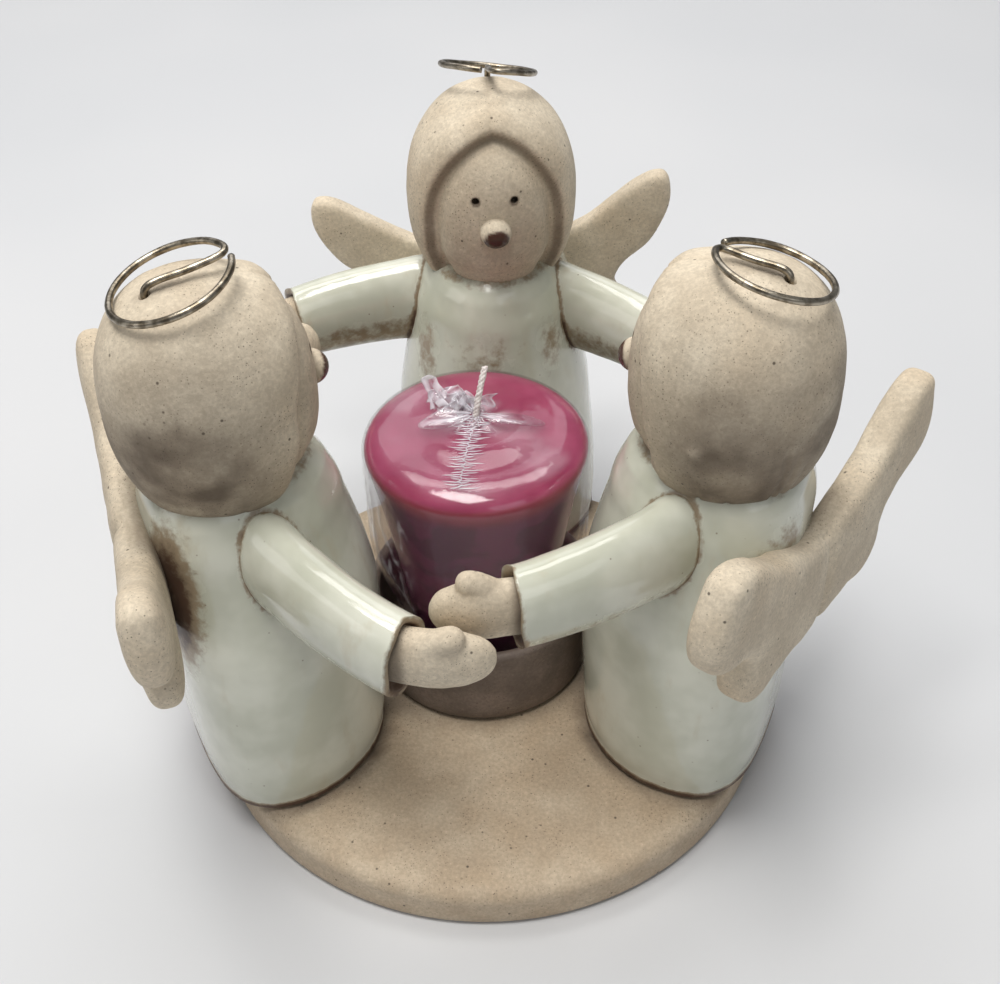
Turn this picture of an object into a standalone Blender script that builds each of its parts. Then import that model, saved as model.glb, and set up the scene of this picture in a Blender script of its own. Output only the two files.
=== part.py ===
"""Stoneware candle holder: three angels stand in a ring on a round base, hand in hand about a
cup, and a film-wrapped votive candle stands in the cup.

The origin is the middle of the base's underside, +Z is up and -Y is the side that faces the viewer.
Each figure is modelled in its own frame: its head axis at x = y = 0, its face towards -Y, its own left
hand towards +X, and z measured from the base's underside. An empty then turns it into its place.
"""

import math

import bmesh
import bpy
from mathutils import Matrix, Vector

MM = 0.001

# Fits
SEAT_GAP = 0.3 * MM

# Base plate
BASE_RADIUS = 55 * MM
BASE_THICKNESS = 8.6 * MM
BASE_TOP_ROUND = 2.6 * MM
BASE_FOOT_ROUND = 1.0 * MM

# Ring of figures, which stands a little behind the middle of the base
RING_OFFSET_X = -1.4 * MM
RING_OFFSET_Y = 4.6 * MM
RING_RADIUS = 45.2 * MM
FIGURE_AZIMUTHS = {"rear": 90.0, "left": 210.0, "right": 340.0}
HEAD_TURNS = {"rear": 7.0, "left": 0.0, "right": -4.0}
WING_TURNS = {"rear": 0.0, "left": -8.0, "right": -13.0}
WING_ROLLS = {"rear": -6.0, "left": 0.0, "right": -4.0}
WING_BULGES = {"rear": 0.0 * MM, "left": 2.0 * MM, "right": 4.0 * MM}
WING_LIFTS = {"rear": 0.0 * MM, "left": 3.0 * MM, "right": -4.0 * MM}

# Candle cup
CUP_HEIGHT = 18.4 * MM
CUP_FOOT_RADIUS = 21.4 * MM
CUP_RIM_RADIUS = 22.0 * MM
CUP_WALL = 2.2 * MM
CUP_FLOOR = 3.4 * MM

# Candle, its wick and the clear film shrunk round it
CANDLE_HEIGHT = 51 * MM
CANDLE_TOP_RADIUS = 20.9 * MM
CANDLE_FOOT_RADIUS = 13.4 * MM
CANDLE_SHOULDER = 3.6 * MM
CANDLE_HOLLOW = 0.9 * MM
WICK_RADIUS = 0.75 * MM
WICK_STAND = 9.5 * MM
WICK_LEAN_BACK = 5.5 * MM
WICK_LEAN_SIDE = 1.5 * MM
FILM_THICKNESS = 0.25 * MM
FILM_SKIRT_RADIUS = 20.4 * MM
FILM_SKIRT_DROP = 17.4 * MM
FILM_WICK_HOLE = 2.2 * MM
FILM_FOOT_HOLE = 9 * MM

# Robe: how far it reaches from the head axis to the front, to the back and to each side, by height
ROBE_BELLY = 23.4 * MM
ROBE_FOOT_REACH = 22.0 * MM
ROBE_BACK = 15.0 * MM
ROBE_SIDE = 22.2 * MM
ROBE_TOP = 78 * MM
ROBE_BELLY_HEIGHT = 44 * MM
ROBE_CHEST_HEIGHT = 64 * MM
ROBE_CHEST_FRONT = 19.4 * MM
ROBE_CHEST_SIDE = 16.2 * MM
ROBE_NECK_FRONT = 12.2 * MM
ROBE_NECK_BACK = 11.0 * MM
ROBE_NECK_SIDE = 10.0 * MM
ROBE_BACK_SQUARENESS = 2.7
ROBE_FOOT_TUCK = 1.0 * MM

# Head, with the face sunk below the hood and a groove round it
HEAD_RADIUS = 16.3 * MM
HEAD_CENTRE = 87.0 * MM
HEAD_RISE = 20.9 * MM
HEAD_DROP = 21.9 * MM
HEAD_FULLNESS = 2.2
HEAD_FRONT_STRETCH = 1.13
FACE_DEPTH = 1.4 * MM
FACE_APEX = 103.2 * MM
FACE_SPRING = 85.5 * MM
FACE_FOOT = 71 * MM
FACE_FOOT_SHARE = 0.82
FACE_HALF_WIDTH = 12.8 * MM
GROOVE_WIDTH = 2.4 * MM
GROOVE_DEPTH = 2.6 * MM
EYE_RADIUS = 0.75 * MM
EYE_DEPTH = 1.4 * MM
EYE_SPREAD = 3.5 * MM
EYE_HEIGHT = 92.8 * MM
NOSE_RADIUS = 3.0 * MM
NOSE_HEIGHT = 87.0 * MM
NOSE_SINK = 3.0 * MM

# Halo wire
HALO_WIRE_RADIUS = 0.6 * MM
HALO_RADII = {"rear_angel": 8.6 * MM, "left_angel": 9.5 * MM, "right_angel": 9.0 * MM}
HALO_LIFTS = {"rear_angel": 2.6 * MM, "left_angel": 1.4 * MM, "right_angel": 1.4 * MM}
HALO_ROLLS = {"rear_angel": 8.0, "left_angel": 3.0, "right_angel": -12.0}
HALO_ROOT_BACK = 6.0 * MM
HALO_FORWARDS = {"rear_angel": 2.4 * MM, "left_angel": 4.0 * MM, "right_angel": 2.4 * MM}
HALO_TILTS = {"rear_angel": 20.0, "left_angel": 15.0, "right_angel": 10.0}
HALO_END_GAP = 0.6 * MM
HALO_BEND_RADIUS = 1.6 * MM
HALO_ROOT_DEPTH = 5 * MM

# Wings
WING_THICKNESS = 6.2 * MM
WING_EDGE_ROUND = 2.2 * MM
WING_SPINE_BACK = 16.4 * MM
WING_SWEEP = 0.5
WING_ROOT_TOP = 65 * MM
WING_ROOT_FOOT = 45 * MM
WING_TIP_REACH = 37.5 * MM
WING_TIP_HEIGHT = 79.5 * MM
WING_NOTCH_REACH = 25 * MM
WING_NOTCH_HEIGHT = 55 * MM
WING_LOWER_REACH = 24.5 * MM
WING_LOWER_HEIGHT = 45.5 * MM
WING_TIP_ROUND = 3.4 * MM
WING_LOWER_ROUND = 4.0 * MM
WING_LOBE_SWELL = 1.5 * MM

# Arms: the sleeve runs from the shoulder to the cuff, and the hand lies along the ring at the meeting point
SHOULDER_SIDE = 6 * MM
SHOULDER_DROP = 0.5 * MM
ELBOW_BOW = 2.6 * MM
SLEEVE_ROOT_HEIGHT = 19.5 * MM
SLEEVE_ROOT_DEPTH = 11 * MM
SLEEVE_CUFF_HEIGHT = 15.5 * MM
SLEEVE_CUFF_DEPTH = 11.5 * MM
CUFF_WALL = 1.5 * MM
HANDS_RADIUS = 47.4 * MM
HANDS_HEIGHT = 62.4 * MM
HANDS_APART_RADIAL = 4.1 * MM
HANDS_APART_HEIGHT = 0.8 * MM
LEFT_HAND_LEAD = 4.7 * MM
LEFT_HAND_TUCK = 0.9 * MM
HAND_LENGTH = 13.8 * MM
HAND_PAST_MEETING = 2.9 * MM
HAND_HALF_WIDTH = 6.2 * MM
HAND_HALF_THICKNESS = 3.9 * MM
WRIST_LENGTH = 4 * MM
THUMB_LENGTH = 7.5 * MM
THUMB_RADIUS = 2.5 * MM

# Colours
BISQUE = (0.55, 0.46, 0.35, 1.0)
BASE_CLAY = (0.50, 0.37, 0.25, 1.0)
CUP_CLAY = (0.30, 0.24, 0.20, 1.0)
CELADON = (0.66, 0.69, 0.60, 1.0)
WAX = (0.36, 0.06, 0.11, 1.0)
COTTON = (0.85, 0.80, 0.76, 1.0)
CLEAR = (0.95, 0.92, 0.94, 1.0)
NICKEL = (0.52, 0.47, 0.38, 1.0)


def clear_scene():
    for item in list(bpy.data.objects):
        bpy.data.objects.remove(item, do_unlink=True)


def new_collection(name):
    collection = bpy.data.collections.new(name)
    bpy.context.scene.collection.children.link(collection)
    return collection


def new_material(name, colour, roughness, metallic=0.0, transmission=0.0):
    material = bpy.data.materials.new(name)
    material.use_nodes = True
    shader = material.node_tree.nodes["Principled BSDF"]
    shader.inputs["Base Color"].default_value = colour
    shader.inputs["Roughness"].default_value = roughness
    shader.inputs["Metallic"].default_value = metallic
    shader.inputs["Transmission Weight"].default_value = transmission
    material.diffuse_color = colour
    return material


def add_part(name, mesh, material, parent=None, sharp_angle=40.0):
    mesh.materials.clear()
    mesh.materials.append(material)
    mesh.shade_smooth()
    mesh.set_sharp_from_angle(angle=math.radians(sharp_angle))
    part = bpy.data.objects.new(name, mesh)
    PARTS.objects.link(part)
    part.parent = parent
    return part


def add_cutter(name, mesh, parent=None):
    cutter = bpy.data.objects.new(name, mesh)
    CUTTERS.objects.link(cutter)
    cutter.parent = parent
    cutter.hide_render = True
    cutter.display_type = "WIRE"
    return cutter


def boolean(target, tool, operation="DIFFERENCE"):
    modifier = target.modifiers.new(f"{operation.lower()} {tool.name}", "BOOLEAN")
    modifier.operation = operation
    modifier.solver = "EXACT"
    modifier.use_self = True
    modifier.object = tool
    return modifier


def add_turned(name, profile, material, closed, steps=40):
    """A turned piece from (radius, height) points, which run down the outer side."""
    mesh = bpy.data.meshes.new(name)
    points = [(radius, 0.0, height) for radius, height in profile]
    edges = [(i, i + 1) for i in range(len(points) - 1)]
    if closed:
        edges.append((len(points) - 1, 0))
    mesh.from_pydata(points, edges, [])
    part = add_part(name, mesh, material)
    screw = part.modifiers.new("turn", "SCREW")
    screw.steps = screw.render_steps = steps
    screw.use_merge_vertices = True
    screw.merge_threshold = 0.00001
    screw.use_smooth_shade = True
    return part


def loft_mesh(name, rings):
    """A closed skin over rings of equal number, each counter-clockwise seen from its far end."""
    form = bmesh.new()
    rows = [[form.verts.new(point) for point in ring] for ring in rings]
    count = len(rows[0])
    for lower, upper in zip(rows, rows[1:]):
        for i in range(count):
            j = (i + 1) % count
            form.faces.new((lower[i], lower[j], upper[j], upper[i]))
    form.faces.new(list(reversed(rows[0])))
    form.faces.new(rows[-1])
    bmesh.ops.recalc_face_normals(form, faces=form.faces)
    mesh = bpy.data.meshes.new(name)
    form.to_mesh(mesh)
    form.free()
    return mesh


def curve_mesh(name, curve, weld=0.00001):
    """The curve's evaluated mesh with its caps welded on."""
    guide = bpy.data.objects.new(name, curve)
    bpy.context.scene.collection.objects.link(guide)
    graph = bpy.context.evaluated_depsgraph_get()
    mesh = bpy.data.meshes.new_from_object(guide.evaluated_get(graph))
    bpy.data.objects.remove(guide)
    form = bmesh.new()
    form.from_mesh(mesh)
    bmesh.ops.remove_doubles(form, verts=form.verts, dist=weld)
    bmesh.ops.recalc_face_normals(form, faces=form.faces)
    form.to_mesh(mesh)
    form.free()
    mesh.name = name
    return mesh


def wire_mesh(name, points, radius, sides=1):
    curve = bpy.data.curves.new(name, "CURVE")
    curve.dimensions = "3D"
    curve.bevel_depth = radius
    curve.bevel_resolution = sides
    curve.use_fill_caps = True
    spline = curve.splines.new("POLY")
    spline.points.add(len(points) - 1)
    for place, point in zip(spline.points, points):
        place.co = (*point, 1.0)
    return curve_mesh(name, curve)


def blend(low, high, share):
    return low + (high - low) * share


def ease(share):
    return share * share * (3.0 - 2.0 * share)


def make_base():
    profile = [(0.0, BASE_THICKNESS)]
    turns = 5
    for i in range(turns + 1):
        angle = math.pi / 2 * i / turns
        radius = BASE_RADIUS - BASE_TOP_ROUND * (1.0 - math.sin(angle))
        profile.append((radius, BASE_THICKNESS - BASE_TOP_ROUND * (1.0 - math.cos(angle))))
    profile.append((BASE_RADIUS, BASE_FOOT_ROUND))
    profile.append((BASE_RADIUS - BASE_FOOT_ROUND, 0.0))
    profile.append((0.0, 0.0))
    return add_turned("base_plate", profile, MATERIALS["base_clay"], closed=False, steps=56)


def cup_rim_height():
    return BASE_THICKNESS + SEAT_GAP + CUP_HEIGHT


def make_cup():
    foot = BASE_THICKNESS + SEAT_GAP
    floor = foot + CUP_FLOOR
    rim = cup_rim_height()
    lip = CUP_WALL / 2
    inner_foot = CUP_FOOT_RADIUS - CUP_WALL
    inner_rim = CUP_RIM_RADIUS - CUP_WALL
    cove = 1.5 * MM
    profile = [(0.0, floor), (inner_foot - cove, floor), (inner_foot, floor + cove), (inner_rim, rim - lip)]
    for i in range(1, 6):
        angle = math.pi * (1.0 - i / 6)
        profile.append((CUP_RIM_RADIUS - lip + lip * math.cos(angle), rim - lip + lip * math.sin(angle)))
    profile.append((CUP_RIM_RADIUS, rim - lip))
    profile.append((CUP_FOOT_RADIUS, foot + lip))
    profile.append((CUP_FOOT_RADIUS - lip / 2, foot))
    profile.append((0.0, foot))
    cup = add_turned("candle_cup", profile, MATERIALS["cup_clay"], closed=False)
    cup.location = RING_CENTRE
    return cup


def candle_foot():
    return BASE_THICKNESS + SEAT_GAP + CUP_FLOOR + SEAT_GAP + FILM_THICKNESS + SEAT_GAP


def candle_radius(share):
    """The candle's radius at a share of its height: a taper that is drawn in a little at mid height."""
    return blend(CANDLE_FOOT_RADIUS, CANDLE_TOP_RADIUS, share) - 4.0 * CANDLE_HOLLOW * share * (1.0 - share)


def candle_side():
    """(radius, height above the candle's foot) down the side, from the top face to the foot."""
    points = []
    turns = 4
    shoulder = CANDLE_HEIGHT - CANDLE_SHOULDER
    edge = candle_radius(shoulder / CANDLE_HEIGHT)
    for i in range(turns + 1):
        angle = math.pi / 2 * i / turns
        radius = edge - CANDLE_SHOULDER * (1.0 - math.sin(angle))
        points.append((radius, shoulder + CANDLE_SHOULDER * math.cos(angle)))
    for share in (0.72, 0.5, 0.26, 0.04):
        points.append((candle_radius(share), share * CANDLE_HEIGHT))
    points.append((candle_radius(0.0) - 0.04 * CANDLE_HEIGHT / 2, 0.0))
    return points


def make_candle(carrier):
    bore = WICK_RADIUS + SEAT_GAP
    profile = [(bore, CANDLE_HEIGHT)] + candle_side() + [(bore, 0.0)]
    candle = add_turned("candle", profile, MATERIALS["wax"], closed=True)
    candle.parent = carrier
    return candle


def make_wick(carrier):
    lean = Vector((WICK_LEAN_SIDE, WICK_LEAN_BACK, WICK_STAND))
    top = Vector((0.0, 0.0, CANDLE_HEIGHT))
    points = [Vector((0.0, 0.0, 0.0)), top + Vector((0.0, 0.0, 2.0 * WICK_RADIUS))]
    for share in (0.5, 1.0):
        points.append(top + Vector((lean.x * share * share, lean.y * share * share, lean.z * share)))
    points.insert(2, blend(points[1], points[2], 0.5))
    wick = add_part("wick", wire_mesh("wick", points, WICK_RADIUS), MATERIALS["cotton"], carrier)
    return wick


def make_film(carrier):
    """Clear film: tight over the candle's top, hanging nearly straight, then drawn in to its foot."""
    inner = [(FILM_WICK_HOLE, CANDLE_HEIGHT + SEAT_GAP)]
    skirt_foot = CANDLE_HEIGHT - CANDLE_SHOULDER - FILM_SKIRT_DROP
    for radius, height in candle_side():
        reach = radius + SEAT_GAP
        if skirt_foot <= height <= CANDLE_HEIGHT - CANDLE_SHOULDER:
            reach = max(reach, FILM_SKIRT_RADIUS)
        elif 0.0 < height < skirt_foot:
            share = height / skirt_foot
            reach = max(reach, blend(candle_radius(0.0) + SEAT_GAP, FILM_SKIRT_RADIUS, share * ease(share)))
        lift = SEAT_GAP * max(0.0, min(1.0, (height - CANDLE_HEIGHT + CANDLE_SHOULDER) / CANDLE_SHOULDER))
        inner.append((reach, height + lift - (SEAT_GAP if height == 0.0 else 0.0)))
    inner.append((FILM_FOOT_HOLE, -SEAT_GAP))
    outer = []
    for i, (radius, height) in enumerate(inner):
        before = inner[max(i - 1, 0)]
        after = inner[min(i + 1, len(inner) - 1)]
        along = Vector((after[0] - before[0], after[1] - before[1])).normalized()
        outer.append((radius - along.y * FILM_THICKNESS, height + along.x * FILM_THICKNESS))
    film = add_turned("candle_film", outer + inner[::-1], MATERIALS["film"], closed=True, steps=28)
    film.parent = carrier
    return film


def robe_reach(height):
    """(front, back, side) of the robe at a height."""
    foot = BASE_THICKNESS + SEAT_GAP
    if height <= ROBE_BELLY_HEIGHT:
        share = (height - foot) / (ROBE_BELLY_HEIGHT - foot)
        tuck = ROBE_FOOT_TUCK * max(0.0, 1.0 - share * 5.0) ** 2
        front = blend(ROBE_FOOT_REACH, ROBE_BELLY, ease(share)) - tuck
        side = blend(ROBE_SIDE, blend(ROBE_SIDE, ROBE_CHEST_SIDE, 0.36), share ** 2) - tuck
        return front, ROBE_BACK - tuck, side
    if height <= ROBE_CHEST_HEIGHT:
        share = (height - ROBE_BELLY_HEIGHT) / (ROBE_CHEST_HEIGHT - ROBE_BELLY_HEIGHT)
        front = blend(ROBE_BELLY, ROBE_CHEST_FRONT, share ** 1.3)
        return front, ROBE_BACK, blend(blend(ROBE_SIDE, ROBE_CHEST_SIDE, 0.36), ROBE_CHEST_SIDE, share)
    share = (height - ROBE_CHEST_HEIGHT) / (ROBE_TOP - ROBE_CHEST_HEIGHT)
    bow = share ** 1.6
    return (
        blend(ROBE_CHEST_FRONT, ROBE_NECK_FRONT, bow),
        blend(ROBE_BACK, ROBE_NECK_BACK, bow),
        blend(ROBE_CHEST_SIDE, ROBE_NECK_SIDE, bow),
    )


def robe_ring(height, growth, steps=28):
    """One D-shaped section: round to the front and squarer across the back."""
    front, back, side = (reach + growth for reach in robe_reach(height))
    ring = []
    for i in range(steps):
        angle = 2.0 * math.pi * i / steps
        across, along = math.cos(angle), math.sin(angle)
        if along <= 0.0:
            ring.append(Vector((side * across, front * along, height)))
        else:
            power = 2.0 / ROBE_BACK_SQUARENESS
            x = side * math.copysign(abs(across) ** power, across)
            ring.append(Vector((x, back * along ** power, height)))
    return ring


def robe_mesh(name, growth=0.0):
    foot = BASE_THICKNESS + SEAT_GAP
    shares = (0.0, 0.03, 0.1, 0.3, 0.5, 0.65, 0.75, 0.82, 0.88, 0.94, 1.0)
    heights = [blend(foot, ROBE_TOP, share) for share in shares]
    rings = [robe_ring(height, growth) for height in heights]
    for point in rings[0]:
        point.z -= growth
    for point in rings[-1]:
        point.z += growth
    return loft_mesh(name, rings)


def head_radius_at(height, growth=0.0):
    reach = (HEAD_RISE if height >= HEAD_CENTRE else HEAD_DROP) + growth
    share = min(1.0, abs(height - HEAD_CENTRE) / reach)
    return (HEAD_RADIUS + growth) * (1.0 - share ** HEAD_FULLNESS) ** (1.0 / HEAD_FULLNESS)


def head_mesh(name, growth=0.0, steps=26, rows=13):
    """A globe drawn out to the head's fuller barrel form."""
    form = bmesh.new()
    bmesh.ops.create_uvsphere(form, u_segments=steps, v_segments=rows, radius=1.0)
    for vertex in form.verts:
        height = HEAD_CENTRE + vertex.co.z * ((HEAD_RISE if vertex.co.z >= 0.0 else HEAD_DROP) + growth)
        flat = Vector((vertex.co.x, vertex.co.y))
        reach = head_radius_at(height, growth)
        if flat.length > 1e-6:
            flat = flat.normalized() * reach
        vertex.co = (flat.x, flat.y * (HEAD_FRONT_STRETCH if flat.y < 0.0 else 1.0), height)
    mesh = bpy.data.meshes.new(name)
    form.to_mesh(mesh)
    form.free()
    return mesh


def face_arch(growth=0.0, steps=6):
    """(x, z) round the face's arch, from the right foot over the apex to the left foot."""
    width = FACE_HALF_WIDTH + growth
    right = []
    for share in (0.0, 0.33, 0.66):
        height = blend(FACE_FOOT, FACE_SPRING, share)
        right.append((-min(width, FACE_FOOT_SHARE * head_radius_at(height) + growth), height))
    rise = FACE_APEX + growth - FACE_SPRING
    for i in range(steps):
        share = i / steps
        right.append((-width * (1.0 - share**2) ** 0.6, FACE_SPRING + rise * share))
    left = [(-x, z) for x, z in reversed(right)]
    return right + [(0.0, FACE_APEX + growth)] + left


def arch_mesh(name, growth):
    """A block of the face's arched outline, from well before the face to just before the head's axis."""
    outline = face_arch(growth)
    near = [Vector((x, -2.0 * HEAD_RADIUS, z)) for x, z in outline]
    far = [Vector((x, -0.1 * HEAD_RADIUS, z)) for x, z in outline]
    return loft_mesh(name, [near, far])


def head_front(x, height, inset=0.0):
    radius = head_radius_at(height, -inset)
    return -HEAD_FRONT_STRETCH * math.sqrt(max(radius * radius - x * x, 0.0))


def head_top(back):
    """Height of the crown at a distance behind the head's axis."""
    share = (1.0 - (back / HEAD_RADIUS) ** HEAD_FULLNESS) ** (1.0 / HEAD_FULLNESS)
    return HEAD_CENTRE + HEAD_RISE * share


def make_head(name, frame, turn):
    """The head with its sunk face, the groove round the face, pricked eyes and the halo's hole."""
    facing = bpy.data.objects.new(f"{name}_axis", None)
    PARTS.objects.link(facing)
    facing.parent = frame
    facing.rotation_euler.z = math.radians(turn)
    head = add_part(f"{name}_head", head_mesh(f"{name}_head"), MATERIALS["bisque"], facing)
    hood = add_cutter(f"{name}_hood_cut", arch_mesh(f"{name}_hood_cut", GROOVE_WIDTH / 2), facing)
    floor_name = f"{name}_groove_floor"
    boolean(hood, add_cutter(floor_name, head_mesh(floor_name, -GROOVE_DEPTH), facing))
    boolean(head, hood)
    face = add_cutter(f"{name}_face", head_mesh(f"{name}_face", -FACE_DEPTH), facing)
    arch_name = f"{name}_face_arch"
    boolean(face, add_cutter(arch_name, arch_mesh(arch_name, -GROOVE_WIDTH / 2), facing), "INTERSECT")
    boolean(head, face, "UNION")
    for side, x in (("l", EYE_SPREAD), ("r", -EYE_SPREAD)):
        surface = head_front(x, EYE_HEIGHT, FACE_DEPTH)
        ends = [Vector((x, surface + shift, EYE_HEIGHT)) for shift in (EYE_DEPTH, -EYE_DEPTH)]
        eye = wire_mesh(f"{name}_eye_{side}", ends, EYE_RADIUS, 1)
        boolean(head, add_cutter(f"{name}_eye_{side}", eye, facing))
    crown = head_top(HALO_ROOT_BACK)
    ends = [
        Vector((0.0, HALO_ROOT_BACK, height))
        for height in (crown - HALO_ROOT_DEPTH - SEAT_GAP, crown + HALO_ROOT_DEPTH)
    ]
    hole = wire_mesh(f"{name}_halo_hole", ends, HALO_WIRE_RADIUS + SEAT_GAP)
    boolean(head, add_cutter(f"{name}_halo_hole", hole, facing))
    make_nose(name, facing, head)
    make_halo(name, facing)
    return head


def globe_mesh(name, radius, place, steps=12, rows=6):
    form = bmesh.new()
    bmesh.ops.create_uvsphere(form, u_segments=steps, v_segments=rows, radius=radius)
    bmesh.ops.translate(form, verts=form.verts, vec=place)
    mesh = bpy.data.meshes.new(name)
    form.to_mesh(mesh)
    form.free()
    return mesh


def make_nose(name, facing, head):
    """A bead pressed a little way into a dimple of the face."""
    middle = Vector((0.0, head_front(0.0, NOSE_HEIGHT, FACE_DEPTH) - NOSE_RADIUS + NOSE_SINK, NOSE_HEIGHT))
    dimple = globe_mesh(f"{name}_nose_seat", NOSE_RADIUS + SEAT_GAP, middle)
    boolean(head, add_cutter(f"{name}_nose_seat", dimple, facing))
    add_part(f"{name}_nose", globe_mesh(f"{name}_nose", NOSE_RADIUS, middle), MATERIALS["bisque"], facing)


def make_halo(name, facing):
    """One wire: up out of the crown, forward to the ring's front, then once round and back to its start."""
    crown = head_top(HALO_ROOT_BACK)
    roll = Matrix.Rotation(math.radians(HALO_ROLLS[name]), 3, "Y")
    tilt = roll @ Matrix.Rotation(math.radians(-HALO_TILTS[name]), 3, "X")
    middle = Vector((0.0, HALO_ROOT_BACK - HALO_FORWARDS[name], crown + HALO_LIFTS[name]))
    ring_radius = HALO_RADII[name]
    open_angle = (2.0 * HALO_WIRE_RADIUS + HALO_END_GAP) / ring_radius
    steps = 22

    def on_ring(angle, radius=ring_radius):
        return middle + tilt @ Vector((radius * math.sin(angle), -radius * math.cos(angle), 0.0))

    start = HALO_BEND_RADIUS / ring_radius
    front = on_ring(0.0, ring_radius - HALO_BEND_RADIUS)
    corner = on_ring(start * 0.3, ring_radius - HALO_BEND_RADIUS * 0.3)
    neck = Vector((0.0, HALO_ROOT_BACK, crown + 2.0 * HALO_WIRE_RADIUS))
    bend = blend(neck, front, 0.14) + Vector((0.0, 0.0, HALO_WIRE_RADIUS))
    points = [Vector((0.0, HALO_ROOT_BACK, crown - HALO_ROOT_DEPTH)), neck, bend, front, corner]
    for i in range(steps + 1):
        points.append(on_ring(blend(start, 2.0 * math.pi - open_angle, i / steps)))
    add_part(f"{name}_halo", wire_mesh(f"{name}_halo", points, HALO_WIRE_RADIUS), MATERIALS["nickel"], facing)


def wing_outline(clear, bulge):
    """(reach, height) control points round one wing, which starts beside the spine."""
    reach, height = WING_TIP_REACH, WING_TIP_HEIGHT
    notch = (WING_NOTCH_REACH, WING_NOTCH_HEIGHT)
    lower = (WING_LOWER_REACH, WING_LOWER_HEIGHT)
    top = blend(WING_ROOT_TOP, height, 0.2)
    return [
        (clear, WING_ROOT_TOP),
        (0.4 * reach, top),
        (reach - 0.8 * WING_TIP_ROUND, height - 0.15 * WING_TIP_ROUND),
        (reach, height - WING_TIP_ROUND),
        (blend(notch[0], reach, 0.78) + bulge, blend(notch[1], height, 0.45) - 0.5 * bulge),
        notch,
        (lower[0] + WING_LOBE_SWELL, blend(lower[1], notch[1], 0.6)),
        (lower[0], lower[1]),
        (lower[0] - WING_LOWER_ROUND, lower[1] - 0.5 * WING_LOWER_ROUND),
        (0.45 * lower[0], blend(WING_ROOT_FOOT, lower[1] - 0.5 * WING_LOWER_ROUND, 0.3)),
        (clear, WING_ROOT_FOOT),
    ]


def wing_mesh(name, side, bulge):
    """A slab with rounded edges, cut to the wing's two-lobed outline and swung back from the spine."""
    sweep = math.radians(WING_SWEEP)
    clear = SEAT_GAP + WING_THICKNESS / 2 * math.sin(sweep)
    curve = bpy.data.curves.new(name, "CURVE")
    curve.dimensions = "2D"
    curve.fill_mode = "BOTH"
    curve.extrude = WING_THICKNESS / 2 - WING_EDGE_ROUND
    curve.bevel_depth = WING_EDGE_ROUND
    curve.bevel_resolution = 1
    curve.offset = -WING_EDGE_ROUND
    curve.resolution_u = 2
    outline = wing_outline(clear, bulge)
    spline = curve.splines.new("BEZIER")
    spline.use_cyclic_u = True
    spline.bezier_points.add(len(outline) - 1)
    for place, (reach, height) in zip(spline.bezier_points, outline):
        place.co = (reach, height, 0.0)
        place.handle_left_type = place.handle_right_type = "AUTO"
    for place in (spline.bezier_points[0], spline.bezier_points[-1]):
        place.handle_left_type = place.handle_right_type = "VECTOR"
    mesh = curve_mesh(name, curve)
    upright = Matrix.Rotation(math.radians(90.0), 4, "X")
    swing = Matrix.Rotation(sweep, 4, "Z")
    mesh.transform(swing @ upright)
    if side < 0:
        mesh.transform(Matrix.Scale(-1.0, 4, Vector((1.0, 0.0, 0.0))))
        mesh.flip_normals()
    return mesh


def make_wings(name, frame, body_cutters):
    spine = bpy.data.objects.new(f"{name}_spine", None)
    PARTS.objects.link(spine)
    spine.parent = frame
    middle = blend(WING_ROOT_FOOT, WING_ROOT_TOP, 0.5)
    turn = Matrix.Rotation(math.radians(WING_TURNS[name]), 4, "Z")
    roll = Matrix.Rotation(math.radians(WING_ROLLS[name]), 4, "Y")
    lift = Matrix.Translation((0.0, 0.0, middle))
    seat = Matrix.Translation((0.0, WING_SPINE_BACK, WING_LIFTS[name]))
    spine.matrix_basis = seat @ turn @ lift @ roll @ lift.inverted()
    for tag, side in (("l", 1), ("r", -1)):
        wing_name = f"{name}_angel_wing_{tag}"
        wing = add_part(wing_name, wing_mesh(wing_name, side, WING_BULGES[name]), MATERIALS["bisque"], spine)
        for cutter in body_cutters:
            boolean(wing, cutter)


def figure_place(name):
    angle = math.radians(FIGURE_AZIMUTHS[name])
    place = RING_CENTRE + RING_RADIUS * Vector((math.cos(angle), math.sin(angle), 0.0))
    return Matrix.Translation(place) @ Matrix.Rotation(angle - math.pi / 2, 4, "Z")


def clasp(name, other):
    """The point where two figures' hands meet, and the directions outward and from name to other."""
    first = FIGURE_AZIMUTHS[name]
    second = FIGURE_AZIMUTHS[other]
    step = (second - first + 180.0) % 360.0 - 180.0
    angle = math.radians(first + step / 2)
    outward = Vector((math.cos(angle), math.sin(angle), 0.0))
    along = Vector((-outward.y, outward.x, 0.0)) * math.copysign(1.0, step)
    return RING_CENTRE + HANDS_RADIUS * outward + Vector((0.0, 0.0, HANDS_HEIGHT)), outward, along


def oval_ring(middle, across, upward, half_across, half_up, steps=14):
    ring = []
    for i in range(steps):
        angle = 2.0 * math.pi * i / steps
        ring.append(middle + across * (half_across * math.cos(angle)) + upward * (half_up * math.sin(angle)))
    return ring


def upright_axes(ahead):
    """The two axes across a direction, one of them level."""
    across = ahead.cross(Vector((0.0, 0.0, 1.0))).normalized()
    return across, across.cross(ahead)


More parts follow.
